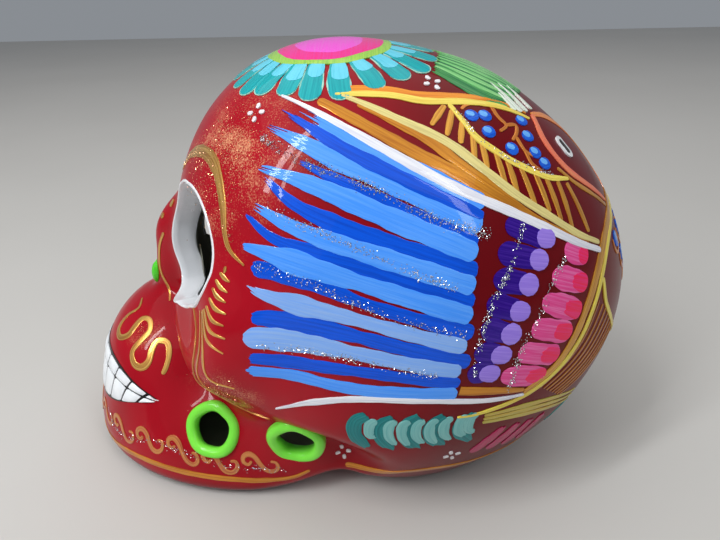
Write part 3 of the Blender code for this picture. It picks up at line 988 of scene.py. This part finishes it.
def make_breast():
    """The bird's breast: an arc full of blue dots and gold scallops, over slanted gold strokes."""
    bright = brushed("lemon_paint", (0.90, 0.74, 0.13), (0.78, 0.55, 0.08))
    lemon = Coat("bird_lines_yellow", bright)
    orange = Coat("bird_line_orange", brushed("orange_paint", (0.85, 0.30, 0.02), (0.70, 0.20, 0.02)))
    bars = Coat("breast_strokes_gold", brushed("bar_gold", GOLD, GOLD_DARK, 0.3, 0.45))
    scallops = Coat(
        "breast_scallops_gold", brushed("scallop_gold", (0.74, 0.25, 0.04), (0.5, 0.14, 0.02), 0.3, 0.4)
    )
    deep = Coat("breast_dots_deep", brushed("dot_blue", (0.01, 0.12, 0.70), (0.0, 0.07, 0.5)))
    light = Coat("breast_dots_light", brushed("dot_sky", (0.12, 0.40, 0.90), (0.20, 0.50, 0.95)))
    starts = [
        (28, 27, 109.2), (28.7, 28.7, 108.4), (31, 30.8, 106.3), (32.5, 33, 104), (34, 35, 102),
        (34.2, 38, 100.3), (34.8, 40.8, 98.4), (34.5, 44, 96.8), (33.5, 47.5, 95), (33, 50.7, 93.4),
        (31.5, 54, 92), (30, 57, 91),
    ]
    stops = [
        (33.6, 23.5, 106), (35, 27, 104), (35.7, 30, 102.3), (38, 33, 99), (38.5, 36, 97.3),
        (39.5, 40, 93.5), (40, 43, 91.3), (40, 47.5, 88.3), (38.5, 51, 86.8), (38, 54.2, 84.3),
        (37, 57.5, 82), (33.5, 63, 79.5),
    ]
    dots = [
        (28.5, 33.3, 107), (27.2, 36.7, 106.8), (30.8, 37, 103.6), (32, 42.5, 100), (22.5, 46.3, 104),
        (26.3, 47.3, 101.4), (29.3, 48.7, 98.2), (30.2, 51, 95.8),
    ]
    curls = [
        [(22, 38, 108), (25.5, 40, 106), (27, 42, 104.3), (29.5, 40, 103.6)],
        [(26.8, 42, 104.3), (25.2, 44.5, 103.8), (27.5, 44.3, 102.4), (30, 43, 101.5)],
        [(28.5, 44, 101.8), (30.7, 46, 99.3), (30.3, 48, 97.6)],
        [(30.5, 46, 99.4), (32.7, 47.5, 97), (32.7, 50, 94.8)],
        [(24, 34.5, 109), (26.5, 32, 109), (27.8, 31, 108.4)],
    ]
    for side in SIDES:
        line = [
            (29.4, 2, 112.2), (28.6, 14.5, 111.7), (28.3, 22.5, 110.4), (25, 33, 109.5),
            (21.8, 41.5, 107.4), (19.8, 49, 104),
        ]
        stroke(lemon, line, [1.4, 1.8, 2.0, 2.0, 1.8, 0.9], OVER, side=side)
        stroke(orange, np.array(line) - (1.6, 1.0, -0.6), [1.8, 2.2, 2.4, 2.0, 1.4, 0.6], PAINT, side=side)
        line = [
            (27.3, 28, 109.4), (31, 31.3, 106), (33.5, 34, 103), (34.5, 38.5, 100), (34.5, 43.5, 97),
            (33, 51, 93.5), (28.5, 57.5, 91.3),
        ]
        stroke(lemon, line, [1.1, 1.6, 1.8, 1.8, 1.6, 1.5, 0.9], OVER, side=side)
        for start, stop in zip(starts, stops):
            stroke(bars, [start, stop], [1.2, 1.6, 1.2], PAINT, side=side)
        for dot in dots:
            dab(deep, dot, (dot[0] - 5, dot[1] + 6, dot[2]), 3.6, 3.2, PAINT, side)
            dab(
                light, (dot[0] - 0.3, dot[1] - 0.4, dot[2] + 0.3), (dot[0], dot[1] + 6, dot[2]), 2.2, 1.7,
                OVER, side,
            )
        for curl in curls:
            stroke(scallops, curl, [1.1, 1.0, 0.8], PAINT, side=side)
    for coat in (lemon, orange, bars, scallops, deep, light):
        coat.finished()


def make_bird_head():
    """The bird's head at the back of the crown: crest, face and eye."""
    coral = Coat("bird_face_coral", brushed("coral_paint", (0.85, 0.17, 0.10), (0.85, 0.28, 0.12)))
    brow = Coat("bird_face_orange", brushed("apricot_paint", (0.85, 0.30, 0.05), (0.85, 0.20, 0.08)))
    ochre = Coat("bird_jaw_gold", brushed("jaw_gold", GOLD, GOLD_DARK, 0.3, 0.4))
    white = Coat("bird_eye_white", brushed("eye_white", (0.84, 0.85, 0.86), (0.72, 0.74, 0.76)))
    dark = Coat("bird_eye_dark", brushed("eye_dark", (0.010, 0.008, 0.006), (0.03, 0.02, 0.014)))
    greens = brushed("leaf_green", (0.02, 0.17, 0.055), (0.10, 0.40, 0.10))
    fresh = brushed("spring_green", (0.16, 0.55, 0.16), (0.35, 0.68, 0.28))
    crest = Coat("crest_dark", greens)
    crest_light = Coat("crest_light", fresh)
    plumes = Coat("crest_white", brushed("plume_white", (0.85, 0.88, 0.80), (0.60, 0.74, 0.55)))
    plume_lines = [
        ((12.7, 39.7, 111.9), (19.4, 47.0, 105.1)),
        ((16.2, 41.3, 109.8), (20.2, 45.3, 105.9)),
        ((10.7, 42.4, 111.2), (17.6, 48.8, 105.1)),
        ((8.5, 45.0, 110.2), (14.5, 50.8, 105.2)),
    ]
    for side in SIDES:
        for k in range(8):
            share = k / 7
            ends = ((16.5, 24.8, 115.6), (20.6, 34.5, 111.2), (20.5, 43.5, 107.3))
            inner = ((1.5, 28.0, 117.6), (2.0, 38.0, 114.2), (2.5, 51.0, 107.4))
            line = [np.array(a) * (1 - share) + np.array(b) * share for a, b in zip(ends, inner)]
            stroke(crest, line, [1.6, 3.8, 2.0], PAINT, bristle=(1.5, 1), side=side)
            if k:
                line = [point - (0.6, 0.2, 0) for point in line]
                stroke(crest_light, line, [0.8, 2.0, 0.9], OVER, (1, 1), (2, 3), side=side)
        for tail, tip in plume_lines:
            stroke(plumes, [tail, tip], [0.3, 1.5, 2.0], TOP, (1, 0.8), (1, 0.3), side=side)
        line = [(17, 50.3, 104.4), (23.5, 52, 99.8), (26, 56, 95), (25, 61.5, 90.4), (17.8, 72, 81.8)]
        stroke(coral, line, [1.6, 2.0, 2.0, 1.6, 1.0], OVER, side=side)
        line = [
            (17, 50.2, 104.6), (11, 55.5, 102.8), (6.5, 61.5, 99.3), (3.4, 67.5, 93.5), (3.6, 73.5, 86.5),
            (9, 76.5, 81),
        ]
        stroke(brow, line, [1.2, 2.6, 2.2, 1.8, 1.4, 0.8], PAINT, side=side)
        stroke(
            ochre, [(28.5, 54.5, 94), (27, 60.5, 89.4), (19.5, 71.5, 81)], [1.0, 1.3, 0.9], PAINT,
            side=side,
        )
        eye = np.array((19.0, 58.7, 96.6))
        dab(white, eye, (21, 63, 92), 6.6, 4.3, TOP, side)
        dab(dark, eye + (0.1, -0.1, 0.1), (21, 63, 92), 4.4, 2.1, LAST, side)
    for coat in (coral, brow, ochre, white, dark, crest, crest_light, plumes):
        coat.finished()


def make_petal_rows():
    """The rows of indigo and pink petals behind the wing."""
    indigo = Coat("petals_indigo", brushed("indigo_paint", (0.022, 0.0, 0.22), (0.05, 0.01, 0.30)))
    lavender = Coat("petals_lavender", brushed("lavender_paint", (0.31, 0.19, 0.76), (0.38, 0.25, 0.82)))
    pink = Coat("petals_pink", brushed("pink_paint", (0.80, 0.06, 0.28), (0.85, 0.16, 0.42)))
    rose = Coat("petals_rose", brushed("scarlet_rose", (0.92, 0.015, 0.10), (0.88, 0.03, 0.20)))
    rows = [
        ((44.5, 39.5, 86.6), (42.5, 49.7, 82)),
        ((48.3, 37.7, 81.5), (45.5, 47.8, 78)),
        ((51, 36.7, 76.3), (49, 45.3, 73.5)),
        ((53, 35.3, 71.3), (51.5, 43.3, 68)),
        ((55, 34.2, 65.9), (53, 41.3, 63)),
        ((56, 32.8, 60), (54.5, 39.3, 58.2)),
        ((57, 31.6, 54.8), (55.5, 36.8, 53.7)),
    ]
    pinks = [
        ((41, 55, 78.6), (37.3, 62, 74.7)),
        ((45.5, 51.5, 73.9), (40, 61.8, 68.7)),
        ((48.5, 49, 68.9), (43, 60.3, 62.8)),
        ((51, 46.6, 63.4), (45.5, 58, 58.2)),
        ((53, 43.7, 58), (48, 55, 53.2)),
        ((54.5, 39.8, 52.5), (49.5, 51.8, 48.3)),
    ]
    for side in SIDES:
        for start, stop in rows:
            stroke(indigo, [start, stop], [4.4, 5.6, 5.4, 5.0], PAINT, (1, 0.6), side=side, columns=11)
            dab(lavender, stop, (stop[0] - 3, stop[1] + 6, stop[2] - 2), 5.4, 5.0, OVER, side, swell=0.16)
        for start, stop in pinks:
            start, stop = np.array(start), np.array(stop)
            stroke(pink, [start, stop], [4.6, 5.8, 5.8, 5.0], PAINT, (1, 0.8), side=side, columns=11)
            near = start + (stop - start) * 0.52
            stroke(
                rose, [near, stop + (stop - start) * 0.02], [3.2, 4.4, 4.4], OVER, (0.8, 0.8), (0.8, 0),
                side=side, columns=11,
            )
    for coat in (indigo, lavender, pink, rose):
        coat.finished()


def make_rear_border():
    """The gold border that closes the wing panel at the back, and the lines that fall from it."""
    gold = Coat(
        "rear_border_gold", brushed("border_gold", (0.72, 0.36, 0.05), (0.50, 0.20, 0.03), 0.3, 0.4)
    )
    edge = Coat("rear_border_yellow", brushed("edge_yellow", (0.86, 0.72, 0.10), (0.70, 0.50, 0.08)))
    tails = Coat("tail_lines_gold", brushed("tail_gold", (0.50, 0.20, 0.04), (0.34, 0.08, 0.03), 0.35, 0.3))
    olive = Coat("tail_lines_olive", brushed("olive_paint", (0.52, 0.44, 0.08), (0.62, 0.40, 0.06)))
    for side in SIDES:
        line = [
            (0, 77.5, 80.5), (8, 76.5, 81.5), (14, 74.8, 81.2), (19.5, 73, 79.5), (29, 69, 76),
            (36, 65.5, 70), (41, 62.5, 63), (44.5, 59.5, 56.5), (48, 54.5, 50), (51.5, 46.5, 44.8),
        ]
        stroke(gold, line, [2.4, 2.4, 2.6, 2.8, 2.6, 2.4, 2.2, 1.6], OVER, (0, 1), side=side)
        line = [
            (0, 78, 78.6), (9, 76.8, 79.6), (18, 74.3, 78.2), (27.5, 70.8, 75), (34.5, 67.7, 69.2),
            (39.3, 65.2, 62.3), (43.3, 61.8, 55.2), (47, 56.2, 49), (51, 48.3, 44), (55, 35.5, 41.3),
            (56, 30, 41.2),
        ]
        stroke(edge, line, [1.4, 1.4, 1.5, 1.5, 1.5, 1.4, 1.4, 1.4, 1.2, 0.6], TOP, (0, 1), side=side)
        stroke(edge, [(34.8, 67.5, 67.5), (34.8, 69.8, 60), (29, 75, 50)], [1.2, 1.5, 1.0], TOP, side=side)
        for k in range(8):
            share = k / 7
            near = ((37.5, 66.8, 62.5), (43.0, 61.5, 53.0), (49.5, 51.5, 44.5))
            far = ((27.5, 76.0, 50.0), (35.5, 69.3, 41.5), (44.0, 59.0, 37.0))
            line = [np.array(a) * (1 - share) + np.array(b) * share for a, b in zip(near, far)]
            stroke(tails, line, [0.4, 0.8, 0.5], PAINT, side=side)
        for k in range(3):
            line = [
                (54.5, 37, 40 - k * 1.4), (50.5, 47, 39.5 - k * 1.8), (45.5, 56, 37.5 - k * 2.1),
                (36, 65.8, 33.2 - k * 2.3),
            ]
            stroke(olive, line, [1.0, 1.6, 1.4, 0.6], PAINT, side=side)
    for coat in (gold, edge, tails, olive):
        coat.finished()


def low_side_x(y):
    """How far out the lower side of the skull lies, at a place along it."""
    return 57.2 - 0.0035 * (y - 16) ** 2


def make_lower_side():
    """Teal and pink strokes low on the side, and the gold line round the base."""
    dark = Coat("low_strokes_teal", brushed("low_teal", (0.002, 0.17, 0.18), (0.01, 0.26, 0.26)))
    light = Coat(
        "low_strokes_aqua",
        brushed("low_aqua", (0.15, 0.46, 0.45), (0.24, 0.55, 0.52), streaks=(0.35, 0.65)),
    )
    pink = Coat("low_strokes_pink", brushed("low_pink", (0.42, 0.012, 0.08), (0.52, 0.03, 0.14)))
    gold = Coat("base_line_gold", brushed("base_gold", (0.68, 0.27, 0.03), (0.48, 0.16, 0.02), 0.3, 0.4))
    # Each stroke's place along the side, and how much higher its top or its foot is.
    hooks = [(7.0, 0.6), (13.4, 0.0), (19.6, 0.4), (25.8, -0.2), (33.4, -1.0)]
    highlights = [
        (9.4, 4.0), (14.2, 0.4), (17.4, 0.0), (20.9, 0.6), (24.2, 0.0), (27.8, 0.8), (31.6, 1.4),
        (34.2, 2.4),
    ]
    for side in SIDES:
        for y, rise in hooks:
            x = low_side_x(y)
            top = 42.2 + rise
            line = [
                (x, y + 1.4, top), (x, y - 1.6, top - 2.6), (x - 1, y - 1.9, 35.0), (x - 3, y + 1.6, 29.2),
            ]
            stroke(dark, line, [2.6, 4.0, 4.0, 3.2], PAINT, (0, 2), (0.4, 2.2), side=side)
        for y, drop in highlights:
            x = low_side_x(y)
            line = [
                (x, y + 1.2, 41.4), (x, y - 0.6, 39.4), (x - 1, y - 0.6, 35.2),
                (x - 2, y + 1.2, 31.4 + drop),
            ]
            stroke(light, line, [1.9, 2.7, 2.6, 1.4], OVER, bristle=(0.2, 0.6), side=side)
        for k in range(4):
            start = (51.4 - 2.2 * k, 44.0 + 4.2 * k, 33.2 - 0.6 * k)
            stop = (49.0 - 2.6 * k, 35.8 + 4.4 * k, 22.4 - 0.3 * k)
            stroke(pink, [start, stop], [1.8, 3.9, 3.0], PAINT, (1, 1), (1.6, 0), side=side)
        line = [
            (42.5, 1.5, 11.3), (46.5, 11.5, 12.5), (48.5, 25, 14.5), (42.5, 40, 13.5), (30, 55, 13.5),
            (14, 64, 13.5), (0, 66.5, 13.5),
        ]
        stroke(gold, line, [1.6, 2.4, 2.4, 2.0, 1.8, 1.6, 1.6], PAINT, (1, 0), side=side)
        line = [
            (44.5, -8.5, 11), (44.6, -14, 8.4), (44.5, -23, 7.4), (44.5, -31, 7.9), (43, -44.5, 8.4),
            (36, -60.5, 8.2), (24, -75, 5.8), (12, -81.5, 5.2), (0, -84, 5.2),
        ]
        stroke(gold, line, [1.0, 1.7, 1.8, 1.8, 1.8, 1.7, 1.6, 1.5, 1.5], PAINT, (1, 0), side=side)
    for coat in (dark, light, pink, gold):
        coat.finished()


# One scroll of the jaw, as places along the band and heights over its middle.
SCROLL = [
    (2.6, 0.7), (1.8, -0.5), (0.3, 0.3), (0.2, 2.2), (1.9, 3.1), (3.8, 1.9), (5.2, -0.5), (6.8, -2.6),
    (8.9, -2.9), (10.3, -1.3), (9.9, 0.7), (8.3, 0.7),
]


def make_jaw_scrolls():
    """A row of S-shaped gold scrolls along the jaw."""
    gold = Coat(
        "jaw_scrolls_gold", brushed("scroll_gold", (0.62, 0.24, 0.07), (0.45, 0.10, 0.04), 0.32, 0.35)
    )
    band = [
        (6, -83, 13), (15, -79.5, 12.8), (24, -73.6, 14.5), (31, -66.5, 14), (36.5, -57, 15.3),
        (40, -48, 15.6), (43, -38, 13.5), (44, -29, 13.3), (44.3, -20, 14), (44.5, -12, 13.2),
    ]
    for side in SIDES:
        path, places = smooth_curve(band)
        for start in np.arange(1.0, places[-1] - 11.0, 11.9):
            points = []
            for along, rise in SCROLL:
                base = [np.interp(start + along, places, path[:, i]) for i in range(3)]
                points.append((base[0], base[1], base[2] + rise))
            stroke(gold, points, [0.8, 1.3, 1.7, 1.4, 1.5, 1.2, 0.7], PAINT, side=side)
    gold.finished()


def make_face():
    """Gold lines of the face: brow, lashes, nose and muzzle, and the green drops of the nose."""
    dust = brushed("glitter_gold", (0.83, 0.50, 0.13), (0.55, 0.24, 0.05), 0.3, 0.7, (0.40, 0.60))
    brow = Coat("brow_gold", dust)
    lashes = Coat("lashes_gold", dust)
    nose = Coat("nose_lines_gold", dust)
    muzzle = Coat("muzzle_scroll_gold", dust)
    drops = Coat("nose_drops_green", brushed("drop_green", (0.10, 0.70, 0.03), (0.06, 0.55, 0.03)))
    rays = [
        ([(45, -24, 77), (45.5, -24.6, 75.4)], 1.2),
        ([(45, -25.7, 75.4), (46, -24.4, 74.4), (47.2, -23.2, 74)], 1.4),
        ([(45, -26.8, 73.6), (46, -25.3, 72), (47.6, -23.7, 71.5)], 1.4),
        ([(45.5, -27.8, 71.7), (46.6, -26.4, 70), (48.5, -24.2, 69.3)], 1.4),
        ([(46.3, -29.2, 69.4), (47.6, -27, 67.3), (49.6, -24.2, 66.8)], 1.4),
        ([(46.7, -30.8, 67.4), (48.8, -28.5, 64.8), (50.7, -25, 64.2)], 1.4),
        ([(46.5, -32, 66.4), (49.3, -30, 62.4), (51.7, -24.8, 61.2)], 1.4),
        ([(46, -33, 65.8), (49.2, -31.2, 60), (52, -25.6, 57.3)], 1.3),
        ([(46, -34, 65.3), (49.3, -33.4, 56.6), (49.7, -31.3, 48.2), (51.2, -24.6, 45.8)], 1.2),
        ([(45, -35.3, 64.8), (47.8, -35.9, 56), (46.5, -35.5, 47), (46.2, -32.5, 41)], 1.1),
    ]
    curve = [
        (7.0, -63.2, 47.1), (11.2, -62.9, 45.8), (12.1, -66.7, 43.5), (14.3, -68.9, 40.6),
        (17.6, -67.6, 39.4), (19.0, -64.2, 41.0), (17.1, -62.0, 43.4), (15.8, -60.2, 45.0),
        (17.0, -57.7, 45.0), (19.8, -57.1, 42.8), (21.8, -59.8, 40.4), (23.4, -62.0, 37.8),
        (25.8, -61.1, 35.2), (27.1, -58.6, 34.9), (26.1, -56.4, 36.4), (24.3, -55.7, 39.0),
        (22.4, -54.2, 41.2), (23.0, -51.2, 41.0), (24.9, -50.5, 38.0), (27.0, -51.2, 35.0),
        (28.2, -52.2, 33.2),
    ]
    for side in SIDES:
        line = [
            (14, -41, 91.5), (17.5, -37.5, 95.5), (23, -33.8, 98.6), (28.5, -29.7, 99.2),
            (32.8, -26.8, 97.6), (36.7, -25, 94.3), (40.2, -24, 89.5), (42.7, -23.9, 84.6),
            (44.6, -22.8, 81), (47.5, -19.3, 78.3),
        ]
        stroke(brow, line, [1.4, 2.4, 3.0, 3.3, 3.2, 2.8, 2.2, 1.7, 1.2, 0.5], PAINT, side=side)
        for line, width in rays:
            stroke(lashes, line, [width * 0.5, width * 0.85, width * 0.25], PAINT, side=side)
        line = [(5.2, -53.8, 68.5), (3.6, -56.5, 62), (5.5, -56.5, 54), (12, -53.5, 50)]
        stroke(nose, line, [1.0, 1.1, 1.0, 0.5], PAINT, side=side)
        line = [
            (40, -39.5, 62.5), (44.6, -39.6, 57.5), (45, -38.3, 48), (44.2, -36.8, 41.5),
            (43.6, -33.5, 36.5), (43.5, -29, 32.5), (44, -24, 30.2), (45, -18.2, 30.4),
        ]
        stroke(nose, line, [0.8, 1.2, 1.1, 0.9, 0.9, 0.9, 0.8, 0.6, 0.4], PAINT, side=side)
        dab(nose, (3.7, -49.2, 77.5), (3.7, -48, 79), 2.6, 1.8, PAINT, side)
        dab(nose, (2.6, -53.4, 73.2), (2.6, -52, 75), 1.9, 1.5, PAINT, side)
        stroke(
            muzzle, curve, [0.5, 1.1, 1.8, 2.0, 1.7, 1.6, 1.7, 2.2, 1.8, 1.7, 1.2], PAINT, side=side,
            columns=9,
        )
        bead(drops, (2.0, -60.0, 53.8), (2.4, -61.5, 50), (7.4, 4.4, 3.6), side)
    for coat in (brow, lashes, nose, muzzle, drops):
        coat.finished()


def make_white_dots():
    """Little clusters of four white dots."""
    dots = Coat("dot_clusters_white", brushed("dot_white", (0.85, 0.82, 0.84), (0.72, 0.66, 0.70)))
    clusters = [
        ((29, -16.4, 108.6), (27, -20, 108.5)),
        ((22, 24.6, 113.3), (24, 20, 113)),
        ((41.7, 1, 16), (41.7, 5, 16)),
        ((51, 30.3, 23.5), (51, 34, 23.5)),
    ]
    for side in SIDES:
        for middle, towards in clusters:
            middle = onto_skin(middle)
            outward = unit(slope(middle))
            first = unit(np.cross(outward, np.array(towards) - middle))
            second = np.cross(outward, first)
            for turn, reach in ((0.2, 1.9), (1.75, 1.6), (3.3, 1.9), (4.85, 1.7)):
                offset = first * math.cos(turn) + second * math.sin(turn)
                dab(dots, middle + offset * reach, middle, 1.5, 1.1, OVER, side, swell=0.12)
    dots.finished()


def make_back():
    """The middle of the back: a tall panel of blue dots and gold scallops between the borders."""
    deep = Coat("back_dots_deep", brushed("back_blue", (0.01, 0.12, 0.66), (0.0, 0.07, 0.45)))
    light = Coat("back_dots_light", brushed("back_sky", (0.12, 0.40, 0.90), (0.20, 0.50, 0.95)))
    gold = Coat(
        "back_scallops_gold", brushed("back_gold", (0.66, 0.22, 0.04), (0.45, 0.12, 0.02), 0.3, 0.4)
    )
    yellow = Coat("back_arch_yellow", brushed("back_yellow", (0.86, 0.72, 0.10), (0.70, 0.50, 0.08)))
    low = Coat("back_strokes_teal", brushed("back_teal", (0.0, 0.30, 0.29), (0.10, 0.52, 0.50)))
    for row in range(5):
        z = 74.0 - row * 6.2
        across = [x for x in (-24.0, -16.0, -8.0, 0.0, 8.0, 16.0, 24.0) if abs(x) < 29 - row * 4.2]
        for x in across:
            x = x + (4.0 if row % 2 else 0.0)
            if abs(x) > 27.5 - row * 3.8:
                continue
            y = 84 - 0.009 * x * x - 0.004 * (z - 55) ** 2
            dab(deep, (x, y, z), (x, y, z - 6), 4.6, 3.4, PAINT, swell=0.14)
            dab(light, (x - 0.3, y, z + 0.6), (x, y, z - 6), 2.6, 1.8, OVER)
            curl = [
                (x - 3.6, y, z + 1.6), (x - 2.9, y, z - 2.2), (x, y, z - 4.2), (x + 2.9, y, z - 2.2),
                (x + 3.6, y, z + 1.6),
            ]
            stroke(gold, curl, [0.6, 1.1, 1.2, 1.1, 0.6], PAINT)
    for side in SIDES:
        line = [(29, 75, 50), (21, 79, 43), (11, 81, 38), (0, 82, 36.5)]
        stroke(yellow, line, [1.0, 1.4, 1.5, 1.4], TOP, (1, 0), side=side)
        for k in range(5):
            x = 3.8 + 7.6 * k
            y = 78 - 0.011 * x * x
            line = [
                (x, y, 31 - 0.6 * k), (x + 1.6, y - 2.0, 26 - 0.6 * k), (x + 0.4, y - 5.0, 21 - 0.5 * k),
            ]
            stroke(low, line, [2.6, 3.6, 1.0], PAINT, bristle=(0.3, 1.0), side=side)
    for coat in (deep, light, gold, yellow, low):
        coat.finished()


def make_glitter():
    """Silver and gold glitter glue over the wing, the petals and the jaw."""
    silver = Coat("glitter_silver", sparkle("silver_glitter", (0.85, 0.87, 0.90), (0.45, 0.47, 0.50)))
    gold = Coat("glitter_gold_grains", sparkle("gold_glitter", (0.95, 0.62, 0.30), (0.85, 0.35, 0.25)))
    # Each line of glue: its width, its grains per millimetre, its points.
    lines = [
        (1.3, 22, [(35, -15, 104.5), (42, -4.5, 100.5), (45.5, 10.5, 95.5), (47.5, 23, 89.5),
                   (47.5, 36, 85)]),
        (1.1, 18, [(45, -13.5, 91.5), (48, -7, 89.5), (51, 4, 85.5), (53, 16.5, 80),
                   (53.5, 28.5, 75)]),
        (1.2, 12, [(48.5, -16.5, 78.5), (52, -7, 77.5), (55, 6, 72.5), (56.5, 18.5, 68),
                   (55.5, 30.5, 64.5)]),
        (1.0, 16, [(52.5, -17, 60), (54, -9, 60), (57, 5.5, 59), (58, 24.5, 54.5)]),
        (1.0, 18, [(43.5, 44, 86), (48.5, 41, 78.5), (51.5, 38, 73.5), (53.5, 35.5, 68.5),
                   (55.5, 33.5, 61.5), (56.5, 33, 53.5)]),
        (0.9, 14, [(41.5, 55, 77), (46, 51.5, 72.5), (49, 49, 67.5), (51, 47, 63), (52.5, 44, 58),
                   (53.5, 42, 46.5)]),
        (0.8, 8, [(28.5, 29.5, 108.5), (33.5, 35, 102.7), (34.3, 42, 98), (31.5, 53, 93)]),
        (1.3, 7, [(23.5, -74, 17), (28, -70, 12.5), (33, -65, 13), (38, -54, 16), (42, -43, 14.5),
                  (44, -30, 12), (44.5, -15, 12.5)]),
    ]
    # Each rubbed patch: its middle, its radius, its grains.
    patches = [
        ((33, -24, 99), 13, 900),
        ((46, -29, 42), 7, 260),
        ((35, -42, 36), 5, 120),
        ((24, -60, 47), 5, 90),
    ]
    for side in SIDES:
        for width, density, anchors in lines:
            glitter_line(silver, anchors, width, density, side=side)
        glitter_line(
            gold,
            [(14, -41, 91.5), (23, -33.8, 98.6), (32.8, -26.8, 97.6), (40.2, -24, 89.5), (44.6, -22.8, 81)],
            1.6, 12, 0.28, OVER, side,
        )
        for centre, radius, count in patches:
            glitter_patch(gold, centre, radius, count, side)
    silver.finished()
    gold.finished()


# ---------------------------------------------------------------- the studio
FLOOR_HALF_WIDTH, FLOOR_LEVEL = 1500.0, -0.05
CAMERA_PLACE = (161.65, 10.17, 135.73)
CAMERA_YAW, CAMERA_PITCH, CAMERA_ROLL = (math.radians(angle) for angle in (1.5, -27.24, -1.34))
CAMERA_LENS, CAMERA_SENSOR = 28.35, 36.0


def area_light(name, place, target, size, power, colour):
    """A soft panel at a place, turned to its target."""
    data = bpy.data.lights.new(name, "AREA")
    data.shape = "RECTANGLE"
    data.size, data.size_y = (value * MM for value in size)
    data.energy = power
    data.color = colour
    lamp = bpy.data.objects.new(name, data)
    bpy.context.scene.collection.objects.link(lamp)
    lamp.location = Vector(place) * MM
    heading = (Vector(target) - Vector(place)).normalized()
    lamp.rotation_euler = heading.to_track_quat("-Z", "Y").to_euler()


def make_studio():
    """A pale floor, a soft sky, two broad panels and three narrow ones for the lacquer to mirror."""
    made, shader = principled("pale_floor", 0.7, coat=0.0)
    place = node(made, "ShaderNodeTexCoord").outputs["Object"]
    tone = mixed(made, noise(made, place, 6.0), (0.54, 0.52, 0.49), (0.59, 0.57, 0.54))
    made.node_tree.links.new(tone, shader.inputs["Base Color"])
    edge, level = FLOOR_HALF_WIDTH, FLOOR_LEVEL
    corners = [(-edge, -edge, level), (edge, -edge, level), (edge, edge, level), (-edge, edge, level)]
    floor = object_from("floor", corners, [(0, 1, 2, 3)], [made])

    world = bpy.data.worlds.new("sky")
    bpy.context.scene.world = world
    world.use_nodes = True
    sky = world.node_tree.nodes["Background"]
    sky.inputs["Color"].default_value = (0.86, 0.92, 1.0, 1.0)
    sky.inputs["Strength"].default_value = 0.29
    bpy.context.scene.view_settings.view_transform = "Standard"

    area_light("overhead", (0, 0, 950), (0, 0, 60), (1500, 1500), 5.6, (1.0, 0.98, 0.95))
    area_light("key", (320, -380, 480), (0, 0, 60), (900, 900), 0.5, (1.0, 0.97, 0.93))
    area_light("window", (250, -315, 535), (40, -8, 101), (48, 430), 1.7, (0.95, 0.98, 1.0))
    area_light("window_bar", (330, -290, 500), (40, -8, 101), (22, 330), 0.50, (0.95, 0.98, 1.0))
    area_light("window_rear", (366, 330, 490), (45, 28, 92), (60, 280), 0.40, (0.93, 0.97, 1.0))


def make_camera():
    """A camera on the skull's left, close by and a little above."""
    level = math.cos(CAMERA_PITCH)
    heading = Vector(
        (-level * math.cos(CAMERA_YAW), -level * math.sin(CAMERA_YAW), math.sin(CAMERA_PITCH))
    )
    data = bpy.data.cameras.new("camera")
    data.sensor_width = CAMERA_SENSOR
    data.lens = CAMERA_LENS
    data.clip_start = 0.01
    data.clip_end = 10.0
    camera = bpy.data.objects.new("camera", data)
    bpy.context.scene.collection.objects.link(camera)
    camera.location = Vector(CAMERA_PLACE) * MM
    turn = heading.to_track_quat("-Z", "Y").to_matrix() @ Matrix.Rotation(CAMERA_ROLL, 3, "Z")
    camera.rotation_euler = turn.to_euler()
    bpy.context.scene.camera = camera


# ---------------------------------------------------------------- the whole
def main():
    """Builds everything."""
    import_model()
    make_camera()
    make_studio()

    outside = crimson_lacquer()
    inside = glazed("grey_green_glaze", (0.11, 0.115, 0.085), (0.20, 0.19, 0.15))
    white = glazed("white_glaze", (0.88, 0.89, 0.92), (0.76, 0.78, 0.81))
    green = glazed("lime_glaze", (0.24, 0.88, 0.07), (0.16, 0.72, 0.05))
    enamel = glazed("tooth_enamel", (0.90, 0.92, 0.94), (0.80, 0.83, 0.87), 200.0)
    black = glazed("black_line", (0.006, 0.006, 0.007), (0.015, 0.014, 0.014))
    make_shells(outside, inside)
    make_linings(white)
    make_collars(green)
    make_teeth(enamel, black)
    make_flower()
    make_wing()
    make_wing_borders()
    make_breast()
    make_bird_head()
    make_petal_rows()
    make_rear_border()
    make_lower_side()
    make_jaw_scrolls()
    make_face()
    make_white_dots()
    make_back()
    make_glitter()


main()
